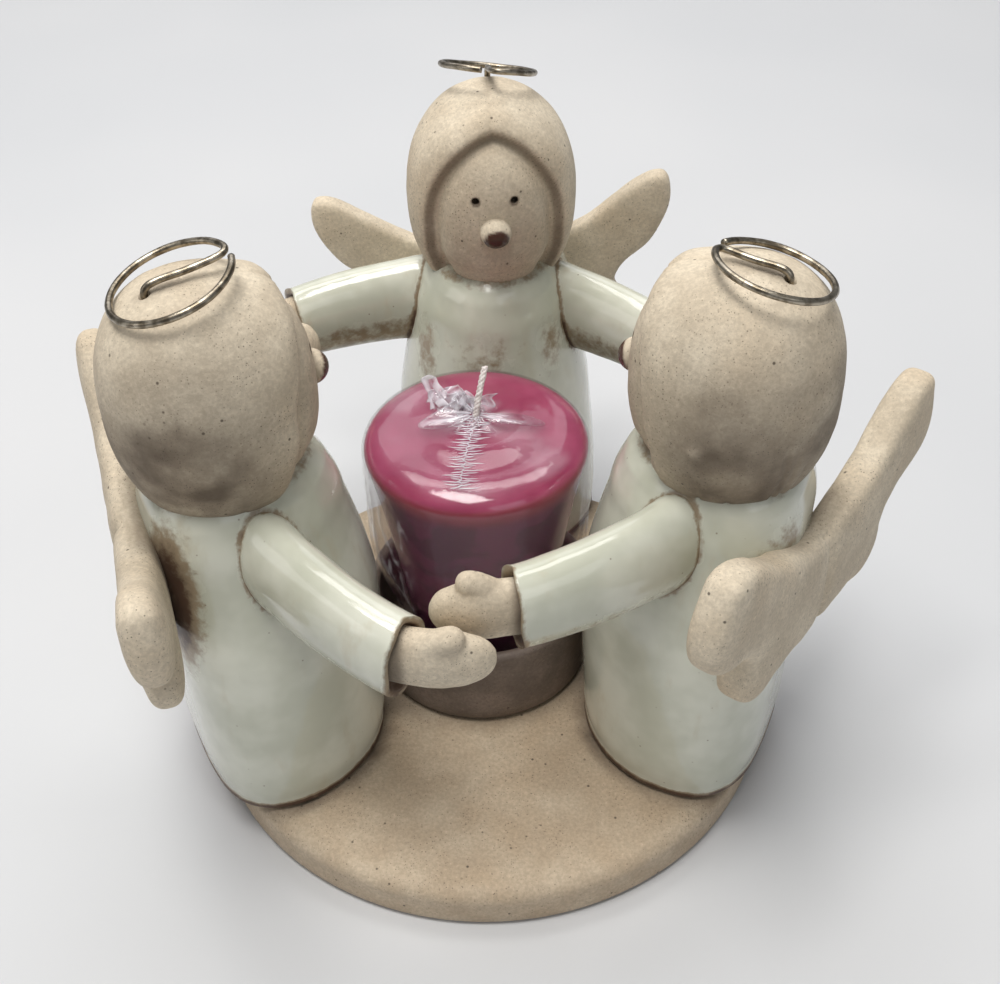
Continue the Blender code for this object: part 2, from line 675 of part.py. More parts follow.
def arm_path(name, other, side, sections=6):
    """The sleeve's centre line in the figure's frame, as (point, direction, share) from shoulder to cuff."""
    meeting, outward, along = clasp(name, other)
    away = (outward * HANDS_APART_RADIAL - Vector((0.0, 0.0, HANDS_APART_HEIGHT))) * -side
    past = HAND_PAST_MEETING + (LEFT_HAND_LEAD if side > 0 else 0.0)
    show = HAND_LENGTH - past - (LEFT_HAND_TUCK if side > 0 else 0.0)
    local = figure_place(name).inverted()
    turn = local.to_3x3()
    cuff = local @ (meeting + away - along * show)
    tip = local @ (meeting + away + along * past)
    shoulder = Vector((side * SHOULDER_SIDE, 0.0, ROBE_CHEST_HEIGHT - SHOULDER_DROP))
    elbow = blend(shoulder, cuff, 0.55) + Vector((side * ELBOW_BOW, ELBOW_BOW, 0.0))
    path = []
    for i in range(sections):
        share = i / (sections - 1)
        point = shoulder * (1 - share) ** 2 + elbow * (2 * share * (1 - share)) + cuff * share ** 2
        ahead = (elbow - shoulder) * (1 - share) + (cuff - elbow) * share
        path.append((point, ahead.normalized(), share))
    return path, tip, turn @ along, (turn @ away).normalized()


def hand_rings(path, tip, along, thin, growth=0.0):
    """Sections of a mitten: its wrist lies in line with the cuff, and the hand bends along the ring."""
    cuff, ahead, _ = path[-1]
    wrist = cuff - ahead * (WRIST_LENGTH + growth)
    end = tip + along * growth
    bend = cuff + ahead * (0.2 * HAND_LENGTH)
    shape = ((0.0, 0.70), (0.16, 0.78), (0.34, 0.94), (0.58, 1.0), (0.76, 0.92), (0.90, 0.72), (0.985, 0.36))
    rings = []
    for share, width in shape:
        point = wrist * (1 - share) ** 2 + bend * (2 * share * (1 - share)) + end * share ** 2
        course = ((bend - wrist) * (1 - share) + (end - bend) * share).normalized()
        wide = course.cross(thin).normalized()
        across = wide.cross(course)
        half_wide = HAND_HALF_WIDTH * width + growth
        rings.append(oval_ring(point, wide, across, half_wide, HAND_HALF_THICKNESS * width + growth, 12))
    return rings


def sleeve_ring(point, ahead, half_deep, half_high):
    across, upward = upright_axes(ahead)
    return oval_ring(point, across, upward, half_deep, half_high)


def make_arm(name, other, tag, side, frame, body_cutters):
    """One sleeve with its hollow cuff and the hand plugged into it. side is +1 on the figure's own left."""
    path, tip, along, thin = arm_path(name, other, side)
    hand_name = f"{name}_angel_hand_{tag}"
    mitten = loft_mesh(hand_name, hand_rings(path, tip, along, thin))
    hand = add_part(hand_name, mitten, MATERIALS["bisque"], frame)
    cuff, ahead, _ = path[-1]
    wide = along.cross(thin)
    thumb_side = wide if wide.z > 0.0 else -wide
    thumb_up = (thumb_side + thin * 0.5).normalized()
    thumb = globe_mesh(f"{hand_name}_thumb", THUMB_RADIUS, Vector())
    stretch = Matrix.Scale(THUMB_LENGTH / (2.0 * THUMB_RADIUS), 4, along)
    seat = blend(cuff, tip, 0.5) + thumb_up * (0.75 * HAND_HALF_WIDTH)
    thumb.transform(Matrix.Translation(seat) @ stretch)
    boolean(hand, add_cutter(f"{hand_name}_thumb", thumb, frame), "UNION")

    rings = []
    for point, course, share in path:
        half_deep = blend(SLEEVE_ROOT_DEPTH, SLEEVE_CUFF_DEPTH, share) / 2
        half_high = blend(SLEEVE_ROOT_HEIGHT, SLEEVE_CUFF_HEIGHT, share) / 2
        rings.append(sleeve_ring(point, course, half_deep, half_high))
    sleeve_name = f"{name}_angel_sleeve_{tag}"
    sleeve = add_part(sleeve_name, loft_mesh(sleeve_name, rings), MATERIALS["celadon"], frame)
    for cutter in body_cutters:
        boolean(sleeve, cutter)
    half_deep = SLEEVE_CUFF_DEPTH / 2 - CUFF_WALL
    half_high = SLEEVE_CUFF_HEIGHT / 2 - CUFF_WALL
    depth = WRIST_LENGTH + SEAT_GAP
    hollow_name = f"{sleeve_name}_hollow"
    hollow = loft_mesh(hollow_name, [
        sleeve_ring(cuff - ahead * depth, ahead, half_deep, half_high),
        sleeve_ring(cuff + ahead * depth, ahead, half_deep, half_high),
    ])
    boolean(sleeve, add_cutter(hollow_name, hollow, frame))
    socket_name = f"{hand_name}_socket"
    socket = loft_mesh(socket_name, hand_rings(path, tip, along, thin, SEAT_GAP))
    boolean(sleeve, add_cutter(socket_name, socket, frame))
    return hand


def make_figure(name, left_neighbour, right_neighbour):
    frame = bpy.data.objects.new(f"{name}_angel", None)
    PARTS.objects.link(frame)
    frame.matrix_world = figure_place(name)
    robe_name = f"{name}_angel_robe"
    robe = add_part(robe_name, robe_mesh(robe_name), MATERIALS["celadon"], frame)
    robe_room = add_cutter(f"{robe_name}_room", robe_mesh(f"{robe_name}_room", SEAT_GAP), frame)
    head_room = add_cutter(f"{name}_head_room", head_mesh(f"{name}_head_room", SEAT_GAP), frame)
    boolean(robe, head_room)
    make_head(f"{name}_angel", frame, HEAD_TURNS[name])
    make_wings(name, frame, (robe_room, head_room))
    make_arm(name, left_neighbour, "l", 1, frame, (robe_room, head_room))
    make_arm(name, right_neighbour, "r", -1, frame, (robe_room, head_room))


clear_scene()
PARTS = new_collection("angel_candle_holder")
CUTTERS = new_collection("cutters")
RING_CENTRE = Vector((RING_OFFSET_X, RING_OFFSET_Y, 0.0))
MATERIALS = {
    "bisque": new_material("bisque", BISQUE, 0.85),
    "base_clay": new_material("base_clay", BASE_CLAY, 0.85),
    "cup_clay": new_material("cup_clay", CUP_CLAY, 0.6),
    "celadon": new_material("celadon", CELADON, 0.15),
    "wax": new_material("wax", WAX, 0.45),
    "cotton": new_material("cotton", COTTON, 0.9),
    "film": new_material("film", CLEAR, 0.05, transmission=1.0),
    "nickel": new_material("nickel", NICKEL, 0.3, metallic=1.0),
}

make_base()
make_cup()
candle_seat = bpy.data.objects.new("candle_lift", None)
PARTS.objects.link(candle_seat)
candle_seat.location = RING_CENTRE + Vector((0.0, 0.0, candle_foot()))
make_candle(candle_seat)
make_wick(candle_seat)
make_film(candle_seat)
make_figure("rear", left_neighbour="right", right_neighbour="left")
make_figure("left", left_neighbour="rear", right_neighbour="right")
make_figure("right", left_neighbour="left", right_neighbour="rear")
bpy.context.view_layer.update()
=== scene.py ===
"""Looks for the angel candle holder: clay, glaze, wax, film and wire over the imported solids.

Lengths are in millimetres, in the part's frame; a figure's own frame has its face towards -Y and its own
left hand towards +X, as in the part's source. Points are turned into metres when a mesh is made.
"""

import itertools
import math

import bmesh
import bpy
import numpy as np
from mathutils import Matrix, Vector
from mathutils.kdtree import KDTree


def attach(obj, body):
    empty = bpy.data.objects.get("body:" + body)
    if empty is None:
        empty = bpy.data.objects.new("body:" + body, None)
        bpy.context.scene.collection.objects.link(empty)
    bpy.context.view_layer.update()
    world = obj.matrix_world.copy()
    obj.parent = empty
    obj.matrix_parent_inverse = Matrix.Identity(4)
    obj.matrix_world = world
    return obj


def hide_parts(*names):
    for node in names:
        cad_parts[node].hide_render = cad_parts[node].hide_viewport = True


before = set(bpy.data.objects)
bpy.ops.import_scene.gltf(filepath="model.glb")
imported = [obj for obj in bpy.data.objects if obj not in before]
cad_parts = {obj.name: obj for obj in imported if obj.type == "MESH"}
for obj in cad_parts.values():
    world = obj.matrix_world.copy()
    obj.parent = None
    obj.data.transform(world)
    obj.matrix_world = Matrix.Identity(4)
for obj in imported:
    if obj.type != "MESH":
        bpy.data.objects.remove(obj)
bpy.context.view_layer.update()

MM = 0.001
TINY = 1e-6
UP = np.array([0.0, 0.0, 1.0])
SIDES = (1, -1)
TAGS = {1: "l", -1: "r"}

# Layout, as in the part's source
GAP = 0.3
BASE_R, BASE_H = 55.0, 8.6
FOOT = BASE_H + GAP
CUP_R, CUP_FLARE, CUP_LIP, CUP_H, CUP_FLOOR = 21.4, 0.6, 1.1, 18.4, 3.4
RING = np.array([-1.4, 4.6])
RING_R = 45.2
AZIMUTHS = {"rear": 90.0, "left": 210.0, "right": 340.0}
HEAD_TURNS = {"rear": 7.0, "left": 0.0, "right": -4.0}
NEIGHBOURS = {"rear": ("right", "left"), "left": ("rear", "right"), "right": ("left", "rear")}
SEEDS = {"rear": 11, "left": 23, "right": 37}

# Robe: heights of belly, chest and top, and (front, back, side) reach at each height
BELLY_Z, CHEST_Z, TOP_Z = 44.0, 64.0, 78.0
FOOT_REACH = np.array([22.0, 15.0, 22.2])
BELLY_REACH = np.array([23.4, 15.0, 20.04])
CHEST_REACH = np.array([19.4, 15.0, 16.2])
TOP_REACH = np.array([12.2, 11.0, 10.0])
ROBE_SQUARE = 2.7
# Brown spots on each robe: place, half width, half height and depth of colour
ROBE_SPOTS = {
    "rear": [
        (-12.0, -13.0, 58.0, 4.0, 8.0, 0.55),
        (11.5, -13.0, 60.0, 3.5, 7.0, 0.5),
        (0.0, -19.0, 61.0, 9.0, 7.0, 0.34),
    ],
    # The left figure's dark patch beside the wing root is bare iron clay, darkened further as painted shade
    "left": [(-9.5, 15.0, 57.0, 4.8, 13.0, 1.7)],
    "right": [(9.0, 14.5, 66.0, 5.0, 5.0, 0.5), (14.0, 11.0, 62.0, 3.5, 7.0, 0.5)],
}

# Head: half width, middle height, reach up and down, power of its outline, and fullness in front
HEAD_R, HEAD_C, HEAD_UP, HEAD_DOWN, HEAD_N, HEAD_FRONT = 16.3, 87.0, 20.9, 21.9, 2.2, 1.13
HEAD_TOPS = {"rear": HEAD_N, "left": 2.55, "right": 2.55}
FACE_W, FACE_SPRING, FACE_APEX, FACE_FOOT = 12.8, 85.5, 103.2, 71.0
FACE_INSET = 1.4
EYE_X, EYE_Z, EYE_R = 3.5, 92.8, 0.68
NOSE_Z, NOSE_R = 87.0, 2.95
# Strokes on the right head: degrees round it, height of the upper end and depth
TOOL_MARKS = (
    (-1.0, 80.0, 0.35),
    (20.0, 76.0, 0.22),
    (50.0, 87.0, 0.34),
    (57.0, 84.0, 0.40),
    (66.0, 82.0, 0.25),
)
# How deep the face lies by the distance from its outline, positive inside
FACE_STEPS = (-1.2, -0.7, -0.1, 0.5, 1.3, 2.4, 4.2, 9.0)
FACE_DEPTHS = (0.0, 0.30, 2.0, 2.65, 2.35, 1.6, 1.28, 1.15)

# Halo: its hole's place and radius, the wire's radius, and for each figure the ring's radius, its lift over
# the crown, its roll and lean in degrees and how far its middle lies before the hole
HALO_Y, HALO_HOLE_R, WIRE_R = 6.0, 0.95, 0.57
HALOS = {
    "rear": (8.6, 2.6, 8.0, -20.0, 2.4),
    "left": (9.5, 1.4, 3.0, -15.0, 4.0),
    "right": (9.0, 1.4, -12.0, -10.0, 2.4),
}

# Wings: turn, roll and lift of a pair, forms of its outline, and half thickness at its edge and inside
WING_TURNS = {"rear": 0.0, "left": -8.0, "right": -13.0}
WING_ROLLS = {"rear": -6.0, "left": 0.0, "right": -4.0}
WING_LIFTS = {"rear": 0.0, "left": 3.0, "right": -4.0}
WING_BULGES = {"rear": 0.0, "left": 2.0, "right": 4.0}
WING_TIPS = {"rear": 2.3, "left": 3.0, "right": 3.0}
WING_LEADS = {"rear": 0.2, "left": 0.22, "right": 0.32}
WING_EDGES = {"rear": 2.2, "left": 1.5, "right": 2.3}
WING_SWELLS = {"rear": 2.8, "left": 3.8, "right": 4.0}
WING_SLAB, WING_ROUND = 3.1, 9.0
WING_REACH, WING_TOP, WING_ROOT_TOP, WING_ROOT_FOOT = 37.5, 79.5, 65.0, 45.0
WING_NOTCH, WING_LOWER, WING_CUT = (25.0, 55.0), (24.5, 45.5), 4.0
WING_OVERLAP, WING_PIVOT_Z, WING_BACK = 1.5, 55.0, 16.4

# Sleeves: half depth and half height from shoulder to cuff, and the rings of the cuff's lip, each with its
# way past the cuff, what it is smaller by and how brown it is
SLEEVE_DEEP, SLEEVE_HIGH = (5.5, 5.75), (9.75, 7.75)
SLEEVE_SKIN = 0.15
CUFF_DEEP, CUFF_HIGH = 5.6, 7.6
CUFF_LIP = (
    (-0.15, 0.35, 0.52),
    (0.0, 0.75, 0.66),
    (-0.15, 1.15, 0.8),
    (-0.7, 1.5, 0.9),
    (-1.2, 2.2, 1.0),
    (-1.4, 3.4, 1.0),
)
# Painted shade under the sleeves, in brown: its depth, and how far up the skin faces where it starts and
# where it is full
UNDERSIDE_SHADE = {"rear": (0.46, 0.35, -0.45), "left": (0.32, 0.0, -0.85), "right": (0.32, 0.0, -0.85)}
SHOULDER_X, SHOULDER_Z = 6.0, 63.5
ELBOW_AT, ELBOW_OUT = 0.55, 2.6

# Hands: where they meet, how far each lies off the other, how far it goes past and shows before the meeting
HANDS_R, HANDS_Z = 47.4, 62.4
HANDS_OUT, HANDS_DROP = 4.1, 0.8
HAND_PAST, HAND_SHOWS = {1: 7.6, -1: 2.9}, {1: 5.3, -1: 10.9}
HAND_WIDE, HAND_THICK, WRIST_IN, HAND_BEND = 6.0, 3.75, 4.0, 2.76
# Thumb: shares of the way from cuff to tip at its ends, their height over that line, and its bow
THUMB_SHARES, THUMB_RISES, THUMB_BOW = (0.12, 0.66), (2.4, 6.1), 1.1

# Candle, wick and film
CANDLE_FOOT, CANDLE_H, SHOULDER, SHOULDER_W = 13.15, 51.0, 3.6, 6.4
CANDLE_TOP = CANDLE_FOOT + CANDLE_H
CANDLE_FOOT_R, CANDLE_TOP_R, CANDLE_WAIST = 13.4, 20.9, 3.6
SKIRT_FOOT_R, SKIRT_TOP_R, SKIRT_DROP = 13.4, 20.1, 17.4
WICK_LEAN = np.array([1.5, 5.5, 9.5])
FILM_OUT, FILM_IN = 0.5, 0.38
SEAM_SLANT = 0.055
# Loose flaps of the film: where each starts and ends from the wick, its height and its waves
FLAPS = (
    ((-9.4, 5.4), (0.6, 0.9), 4.3, 15.0),
    ((-8.4, 2.8), (1.0, 0.2), 2.6, 19.0),
    ((-6.6, 6.0), (3.2, 3.4), 2.3, 13.0),
)

# Sizes in metres of the voxels that run wings and hands into one skin
WING_VOXEL, HAND_VOXEL = 0.00055, 0.00034


# Numbers and noise


def lattice(ix, iy, iz, seed):
    """A hash of whole-numbered places, in -1..1."""
    n = (ix * 374761393 + iy * 668265263 + iz * 1440670441 + seed * 1274126177) & 0xFFFFFFFF
    n = ((n ^ (n >> 13)) * 1274126177) & 0xFFFFFFFF
    return ((n ^ (n >> 16)) & 0xFFFF) / 32767.5 - 1.0


def eased(t):
    return t * t * (3.0 - 2.0 * t)


def noise(points, size, seed):
    """Smooth noise in -1..1 whose features are about size mm across."""
    p = np.asarray(points, float) / size
    base = np.floor(p).astype(np.int64)
    f = eased(p - base)
    total = np.zeros(len(p))
    for corner in itertools.product((0, 1), repeat=3):
        total += np.prod(np.where(corner, f, 1.0 - f), axis=1) * lattice(*(base + corner).T, seed)
    return total


def fractal(points, size, seed):
    total = np.zeros(len(points))
    for i in range(3):
        total += noise(points, size / 2**i, seed + 7 * i) / 2**i
    return total / 1.6


def wobble(points, size, seeds):
    """A column of noise for each seed."""
    return np.column_stack([noise(points, size, seed) for seed in seeds])


def smooth(x, low, high):
    """An eased step from 0 at low to 1 at high, whichever of them is greater."""
    return eased(np.clip((np.asarray(x, float) - low) / (high - low), 0.0, 1.0))


def bell(x, middle, width):
    return np.exp(-(((x - middle) / width) ** 2))


def blend(a, b, t):
    return a + (b - a) * t


def unit(v):
    """A vector, or each row of an array of them, at length 1."""
    return v / np.maximum(np.linalg.norm(v, axis=-1, keepdims=True), TINY)


def outward(points):
    """Level unit vectors from the Z axis towards each point."""
    return unit(points * [1.0, 1.0, 0.0])


def place(matrix, points):
    return np.asarray(points, float) @ matrix[:3, :3].T + matrix[:3, 3]


def rot_z(degrees):
    return np.array(Matrix.Rotation(math.radians(degrees), 4, "Z"))


def figure_matrix(which):
    a = math.radians(AZIMUTHS[which])
    m = rot_z(AZIMUTHS[which] - 90.0)
    m[:2, 3] = RING + RING_R * np.array([math.cos(a), math.sin(a)])
    return m


def to_segment(points, a, b):
    """Share of the way from a to b at which a point is nearest to the segment, and its distance there."""
    d = b - a
    t = np.clip(((points - a) @ d) / (d @ d), 0.0, 1.0)
    return t, np.linalg.norm(points - a - np.outer(t, d), axis=1)


# Lines and rings of points


def circle(steps):
    return np.linspace(0.0, 2.0 * math.pi, steps, endpoint=False)


def oval(middle, across, upward, wide, tall, steps):
    """A ring about a point, wide and tall by half sizes along two directions."""
    a = circle(steps)
    return middle + np.outer(wide * np.cos(a), across) + np.outer(tall * np.sin(a), upward)


def level_ring(radius, height, steps):
    a = circle(steps)
    return np.column_stack([radius * np.cos(a), radius * np.sin(a), np.full(steps, height)])


def resample(points, count):
    """Even steps along a polyline."""
    points = np.asarray(points, float)
    lengths = np.concatenate([[0.0], np.cumsum(np.linalg.norm(np.diff(points, axis=0), axis=1))])
    at = np.linspace(0.0, lengths[-1], count)
    return np.column_stack([np.interp(at, lengths, column) for column in points.T])


def rounded(points, rounds):
    """Corner cutting, which turns a coarse polyline into a smooth one and keeps its ends."""
    points = np.asarray(points, float)
    for _ in range(rounds):
        cut = np.empty((2 * len(points), points.shape[1]))
        cut[0] = points[0]
        cut[-1] = points[-1]
        cut[1:-1:2] = 0.75 * points[:-1] + 0.25 * points[1:]
        cut[2:-1:2] = 0.25 * points[:-1] + 0.75 * points[1:]
        points = cut
    return points


def bent_line(start, bend, end, shares):
    """Points and directions of a curve from start to end, drawn towards bend, at shares of its way."""
    t = shares[:, None]
    points = start * (1 - t) ** 2 + bend * 2 * t * (1 - t) + end * t**2
    return points, unit((bend - start) * (1 - t) + (end - bend) * t)


def tube(path, radius, sides):
    """Rings of a round tube along a path. radius is a number or one per point."""
    radii = np.broadcast_to(radius, len(path))
    ahead = unit(np.gradient(path, axis=0))
    normal = np.cross(ahead[0], [0.3, 0.5, 0.8])
    rings = []
    for point, go, r in zip(path, ahead, radii):
        normal = unit(normal - go * (normal @ go))
        rings.append(oval(point, normal, np.cross(go, normal), r, r, sides))
    return rings


# Meshes and pieces


def grid_faces(rows, cols, wrap=True):
    """Quads over a grid of points, row after row. With wrap the last column joins the first."""
    faces = []
    for i in range(rows - 1):
        for j in range(cols if wrap else cols - 1):
            k = (j + 1) % cols
            faces.append((i * cols + j, i * cols + k, (i + 1) * cols + k, (i + 1) * cols + j))
    return faces


def capped(rings):
    """Points and faces of a closed skin over rings of equal number, with a middle point in each end."""
    cols = len(rings[0])
    points = np.vstack([*rings, np.mean(rings[0], axis=0), np.mean(rings[-1], axis=0)])
    faces = grid_faces(len(rings), cols)
    first = len(rings) * cols
    end = first - cols
    for j in range(cols):
        k = (j + 1) % cols
        faces.append((first, k, j))
        faces.append((first + 1, end + j, end + k))
    return points, faces


def turned(profile, steps, centre=(0.0, 0.0)):
    """A closed turned skin from (radius, height) points, with a middle point in each end."""
    points, faces = capped([level_ring(radius, height, steps) for radius, height in profile])
    points[:, :2] += centre
    return points, faces


def set_attributes(mesh, **attributes):
    for key, values in attributes.items():
        layer = mesh.attributes.get(key) or mesh.attributes.new(key, "FLOAT", "POINT")
        layer.data.foreach_set("value", np.asarray(values, np.float32))


def clean(mesh, merge=0.0):
    """Turns the faces outwards, after joining points that lie within merge metres."""
    form = bmesh.new()
    form.from_mesh(mesh)
    if merge:
        bmesh.ops.remove_doubles(form, verts=form.verts, dist=merge)
    bmesh.ops.recalc_face_normals(form, faces=form.faces)
    form.to_mesh(mesh)
    form.free()


def make_mesh(name, points, faces, **attributes):
    mesh = bpy.data.meshes.new(name)
    mesh.from_pydata((np.asarray(points, float) * MM).tolist(), [], faces)
    set_attributes(mesh, **attributes)
    clean(mesh)
    mesh.shade_smooth()
    return mesh


def joined(name, meshes):
    """One mesh of several."""
    form = bmesh.new()
    for mesh in meshes:
        form.from_mesh(mesh)
    mesh = bpy.data.meshes.new(name)
    form.to_mesh(mesh)
    form.free()
    mesh.shade_smooth()
    return mesh


def linked(name, data):
    """A new object of the scene."""
    thing = bpy.data.objects.new(name, data)
    bpy.context.scene.collection.objects.link(thing)
    return thing


def frozen(scratch):
    """The final mesh of a scratch object, which is then deleted."""
    mesh = bpy.data.meshes.new_from_object(scratch.evaluated_get(bpy.context.evaluated_depsgraph_get()))
    bpy.data.objects.remove(scratch)
    return mesh


def modified(mesh, modifiers):
    """The mesh after a stack of modifiers, given as (type, settings)."""
    scratch = linked("scratch", mesh)
    for kind, settings in modifiers:
        modifier = scratch.modifiers.new(kind.lower(), kind)
        for key, value in settings.items():
            setattr(modifier, key, value)
    return frozen(scratch)


def run_together(name, meshes, voxel, rounds):
    """Meshes made one even skin, smoothed by a number of rounds."""
    remesh = ("REMESH", {"mode": "VOXEL", "voxel_size": voxel})
    return modified(joined(name, meshes), [remesh, ("SMOOTH", {"factor": 0.5, "iterations": rounds})])


def read_vectors(items, field):
    flat = np.empty(len(items) * 3, np.float32)
    items.foreach_get(field, flat)
    return flat.reshape(-1, 3).astype(float)


def mesh_points(mesh):
    return read_vectors(mesh.vertices, "co") / MM


def mesh_normals(mesh):
    return read_vectors(mesh.vertex_normals, "vector")


def set_points(mesh, points):
    mesh.vertices.foreach_set("co", (points * MM).astype(np.float32).ravel())
    mesh.update()


def add_piece(name, mesh, material, nodes=(), body="holder"):
    piece = linked(name, mesh)
    mesh.materials.clear()
    mesh.materials.append(material)
    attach(piece, body)
    if nodes:
        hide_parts(*nodes)


def add_bisque(name, nodes, mesh, points, matrix, soot, iron=0.0):
    """A piece of unglazed clay: the mesh with its points moved, placed by the matrix, and its stains and
    painted shade.
    """
    iron = np.broadcast_to(iron, len(points))
    set_attributes(mesh, soot=np.clip(soot, 0.0, 1.0), iron=iron)
    set_points(mesh, place(matrix, points))
    mesh.shade_smooth()
    add_piece(name, mesh, BISQUE, nodes)


def add_turned(node, material, points, faces, soot):
    """A piece of turned clay with its stains and painted shade."""
    name = f"{node}_clay"
    mesh = make_mesh(name, points, faces, soot=np.clip(soot, 0.0, 1.0), iron=np.zeros(len(points)))
    add_piece(name, mesh, material, [node])


def add_glazed(name, node, points, faces, matrix, brown):
    """A glazed piece, brown by its share at each point."""
    mesh = make_mesh(name, place(matrix, points), faces, **{"break_and_shade": np.clip(brown, 0.0, 1.0)})
    add_piece(name, mesh, GLAZE, [node])


def add_film(name, mesh, nodes=()):
    add_piece(name, mesh, FILM, nodes, "candle_unit")


# Materials: every colour is worked out from the point's place on the piece and from named point attributes

SPECK, FINE_SPECK, PEPPER = (0.045, 0.033, 0.024), (0.10, 0.072, 0.05), (0.07, 0.055, 0.042)
# The first colour here is a dark brown that serves both for stains and for painted shade
SHADE_AND_STAIN, IRON = (0.115, 0.085, 0.06), (0.070, 0.030, 0.020)
CELADON, CELADON_PALE, CELADON_WARM = (0.55, 0.56, 0.455), (0.70, 0.705, 0.60), (0.54, 0.48, 0.345)
# The browns for thin and bare glaze also paint the shade under the sleeves
GLAZE_THIN_AND_SHADE, GLAZE_BARE_AND_SHADE, GLAZE_SPOT = (0.32, 0.25, 0.165), (0.085, 0.042, 0.022), (0.16, 0.09, 0.05)
# The shoulder colour here and the deep and side colours below are painted shade of the red wax
WAX_RED, WAX_PINK, WAX_SHOULDER_SHADE = (0.46, 0.056, 0.140), (0.57, 0.095, 0.200), (0.36, 0.040, 0.055)
WAX_DEEP_SHADE, WAX_SIDE_SHADE = (0.065, 0.008, 0.046), (0.15, 0.019, 0.080)
# The film's body colour is a painted purple-pink reflection; the white is for cloudy creases
FILM_REFLECTION_TINT, FILM_WHITE = (0.16, 0.03, 0.075), (0.93, 0.90, 0.97)
WIRE_DARK, WIRE_PALE, WIRE_WORN = (0.17, 0.14, 0.10), (0.45, 0.40, 0.32), (0.07, 0.055, 0.04)
COTTON_DARK, COTTON_PALE = (0.60, 0.52, 0.50), (0.90, 0.86, 0.83)
FLOOR_DARK, FLOOR_PALE = (0.62, 0.63, 0.645), (0.66, 0.665, 0.675)


class Nodes:
    """A material whose shader sockets are fed by small node helpers."""

    def __init__(self, name):
        self.material = bpy.data.materials.new(name)
        self.material.use_nodes = True
        self.tree = self.material.node_tree
        self.shader = self.tree.nodes["Principled BSDF"]
        self.place = self.add("ShaderNodeTexCoord").outputs["Object"]

    def add(self, kind, sockets=(), **settings):
        """A node with its settings, and with a value or a link for each socket named or numbered."""
        node = self.tree.nodes.new(kind)
        for key, value in settings.items():
            setattr(node, key, value)
        for key, value in dict(sockets).items():
            self.put(node.inputs[key], value)
        return node

    def put(self, socket, value):
        if hasattr(value, "is_output"):
            self.tree.links.new(value, socket)
        else:
            socket.default_value = value

    def noise(self, size_mm, detail=3.0, rough=0.55, stretch=(1.0, 1.0, 1.0)):
        at = self.add("ShaderNodeMapping", {"Scale": stretch, "Vector": self.place}).outputs["Vector"]
        sockets = {"Scale": 1.0 / (size_mm * MM), "Detail": detail, "Roughness": rough, "Vector": at}
        return self.add("ShaderNodeTexNoise", sockets).outputs["Fac"]

    def specks(self, size_mm, low, high):
        """Spots: 1 in the middle of scattered cells about size_mm apart."""
        sockets = {"Scale": 1.0 / (size_mm * MM), "Vector": self.place}
        cells = self.add("ShaderNodeTexVoronoi", sockets).outputs
        keep = self.add("ShaderNodeSeparateColor", {0: cells["Color"]}).outputs[0]
        return self.math("MULTIPLY", self.ramp(cells["Distance"], high, low), self.ramp(keep, 0.55, 0.75))

    def attribute(self, name):
        return self.add("ShaderNodeAttribute", attribute_name=name).outputs["Fac"]

    def ramp(self, value, low, high):
        """An eased step from 0 at low to 1 at high."""
        sockets = {"Value": value, "From Min": low, "From Max": high}
        return self.add("ShaderNodeMapRange", sockets, interpolation_type="SMOOTHSTEP").outputs["Result"]

    def math(self, operation, *values):
        return self.add("ShaderNodeMath", enumerate(values), operation=operation).outputs[0]

    def scale(self, value, factor, shift=0.0):
        return self.math("MULTIPLY_ADD", value, factor, shift)

    def mix(self, factor, a, b):
        a, b = (colour if hasattr(colour, "is_output") else (*colour, 1.0) for colour in (a, b))
        return self.add("ShaderNodeMix", {0: factor, 6: a, 7: b}, data_type="RGBA").outputs[2]

    def paint(self, under, mask, strength, colour):
        """A colour laid over what is under it, by a mask and a strength."""
        return self.mix(self.scale(mask, strength), under, colour)

    def bump(self, height, strength, distance_mm):
        sockets = {"Strength": strength, "Distance": distance_mm * MM, "Height": height}
        self.put(self.shader.inputs["Normal"], self.add("ShaderNodeBump", sockets).outputs["Normal"])

    def set(self, **sockets):
        for key, value in sockets.items():
            self.put(self.shader.inputs[key.replace("_", " ")], value)


def clay(name, light, dark, warm, roughness, grain=1.0):
    """Unglazed stoneware: mottled, grainy, with iron specks, and stains and painted shade where the
    attribute asks for them.
    """
    m = Nodes(name)
    shade = tuple(0.55 * c for c in dark)
    shine = tuple(min(1.0, 1.25 * c) for c in light)
    fine = m.noise(0.7, 3.0, 0.7)
    colour = m.mix(m.ramp(m.noise(9.0, 4.0), 0.35, 0.7), dark, light)
    colour = m.paint(colour, m.ramp(m.noise(22.0, 3.0), 0.45, 0.72), 0.55, warm)
    colour = m.paint(colour, m.ramp(fine, 0.62, 0.36), 0.30, shade)
    colour = m.paint(colour, m.ramp(fine, 0.60, 0.74), 0.35, shine)
    colour = m.paint(colour, m.specks(2.6, 0.05, 0.13), 0.80, SPECK)
    colour = m.paint(colour, m.specks(0.9, 0.08, 0.2), 0.45, FINE_SPECK)
    # Real stains, and painted shade in hollows, creases and where parts meet, laid on by one attribute
    colour = m.paint(colour, m.attribute("soot"), 0.9, SHADE_AND_STAIN)
    for size, cluster in ((0.55, 11.0), (0.38, 6.0)):
        pepper = m.math("MULTIPLY", m.specks(size, 0.10, 0.30), m.ramp(m.noise(cluster, 3.0), 0.44, 0.62))
        colour = m.paint(colour, pepper, 0.75, PEPPER)
    colour = m.mix(m.attribute("iron"), colour, IRON)
    m.set(Base_Color=colour, Roughness=m.scale(m.attribute("iron"), 0.15 - roughness, roughness))
    m.set(Specular_IOR_Level=0.35)
    m.bump(m.math("ADD", m.scale(fine, 0.7), m.scale(m.noise(2.4, 3.0), 0.8)), 0.55 * grain, 0.22)
    return m.material


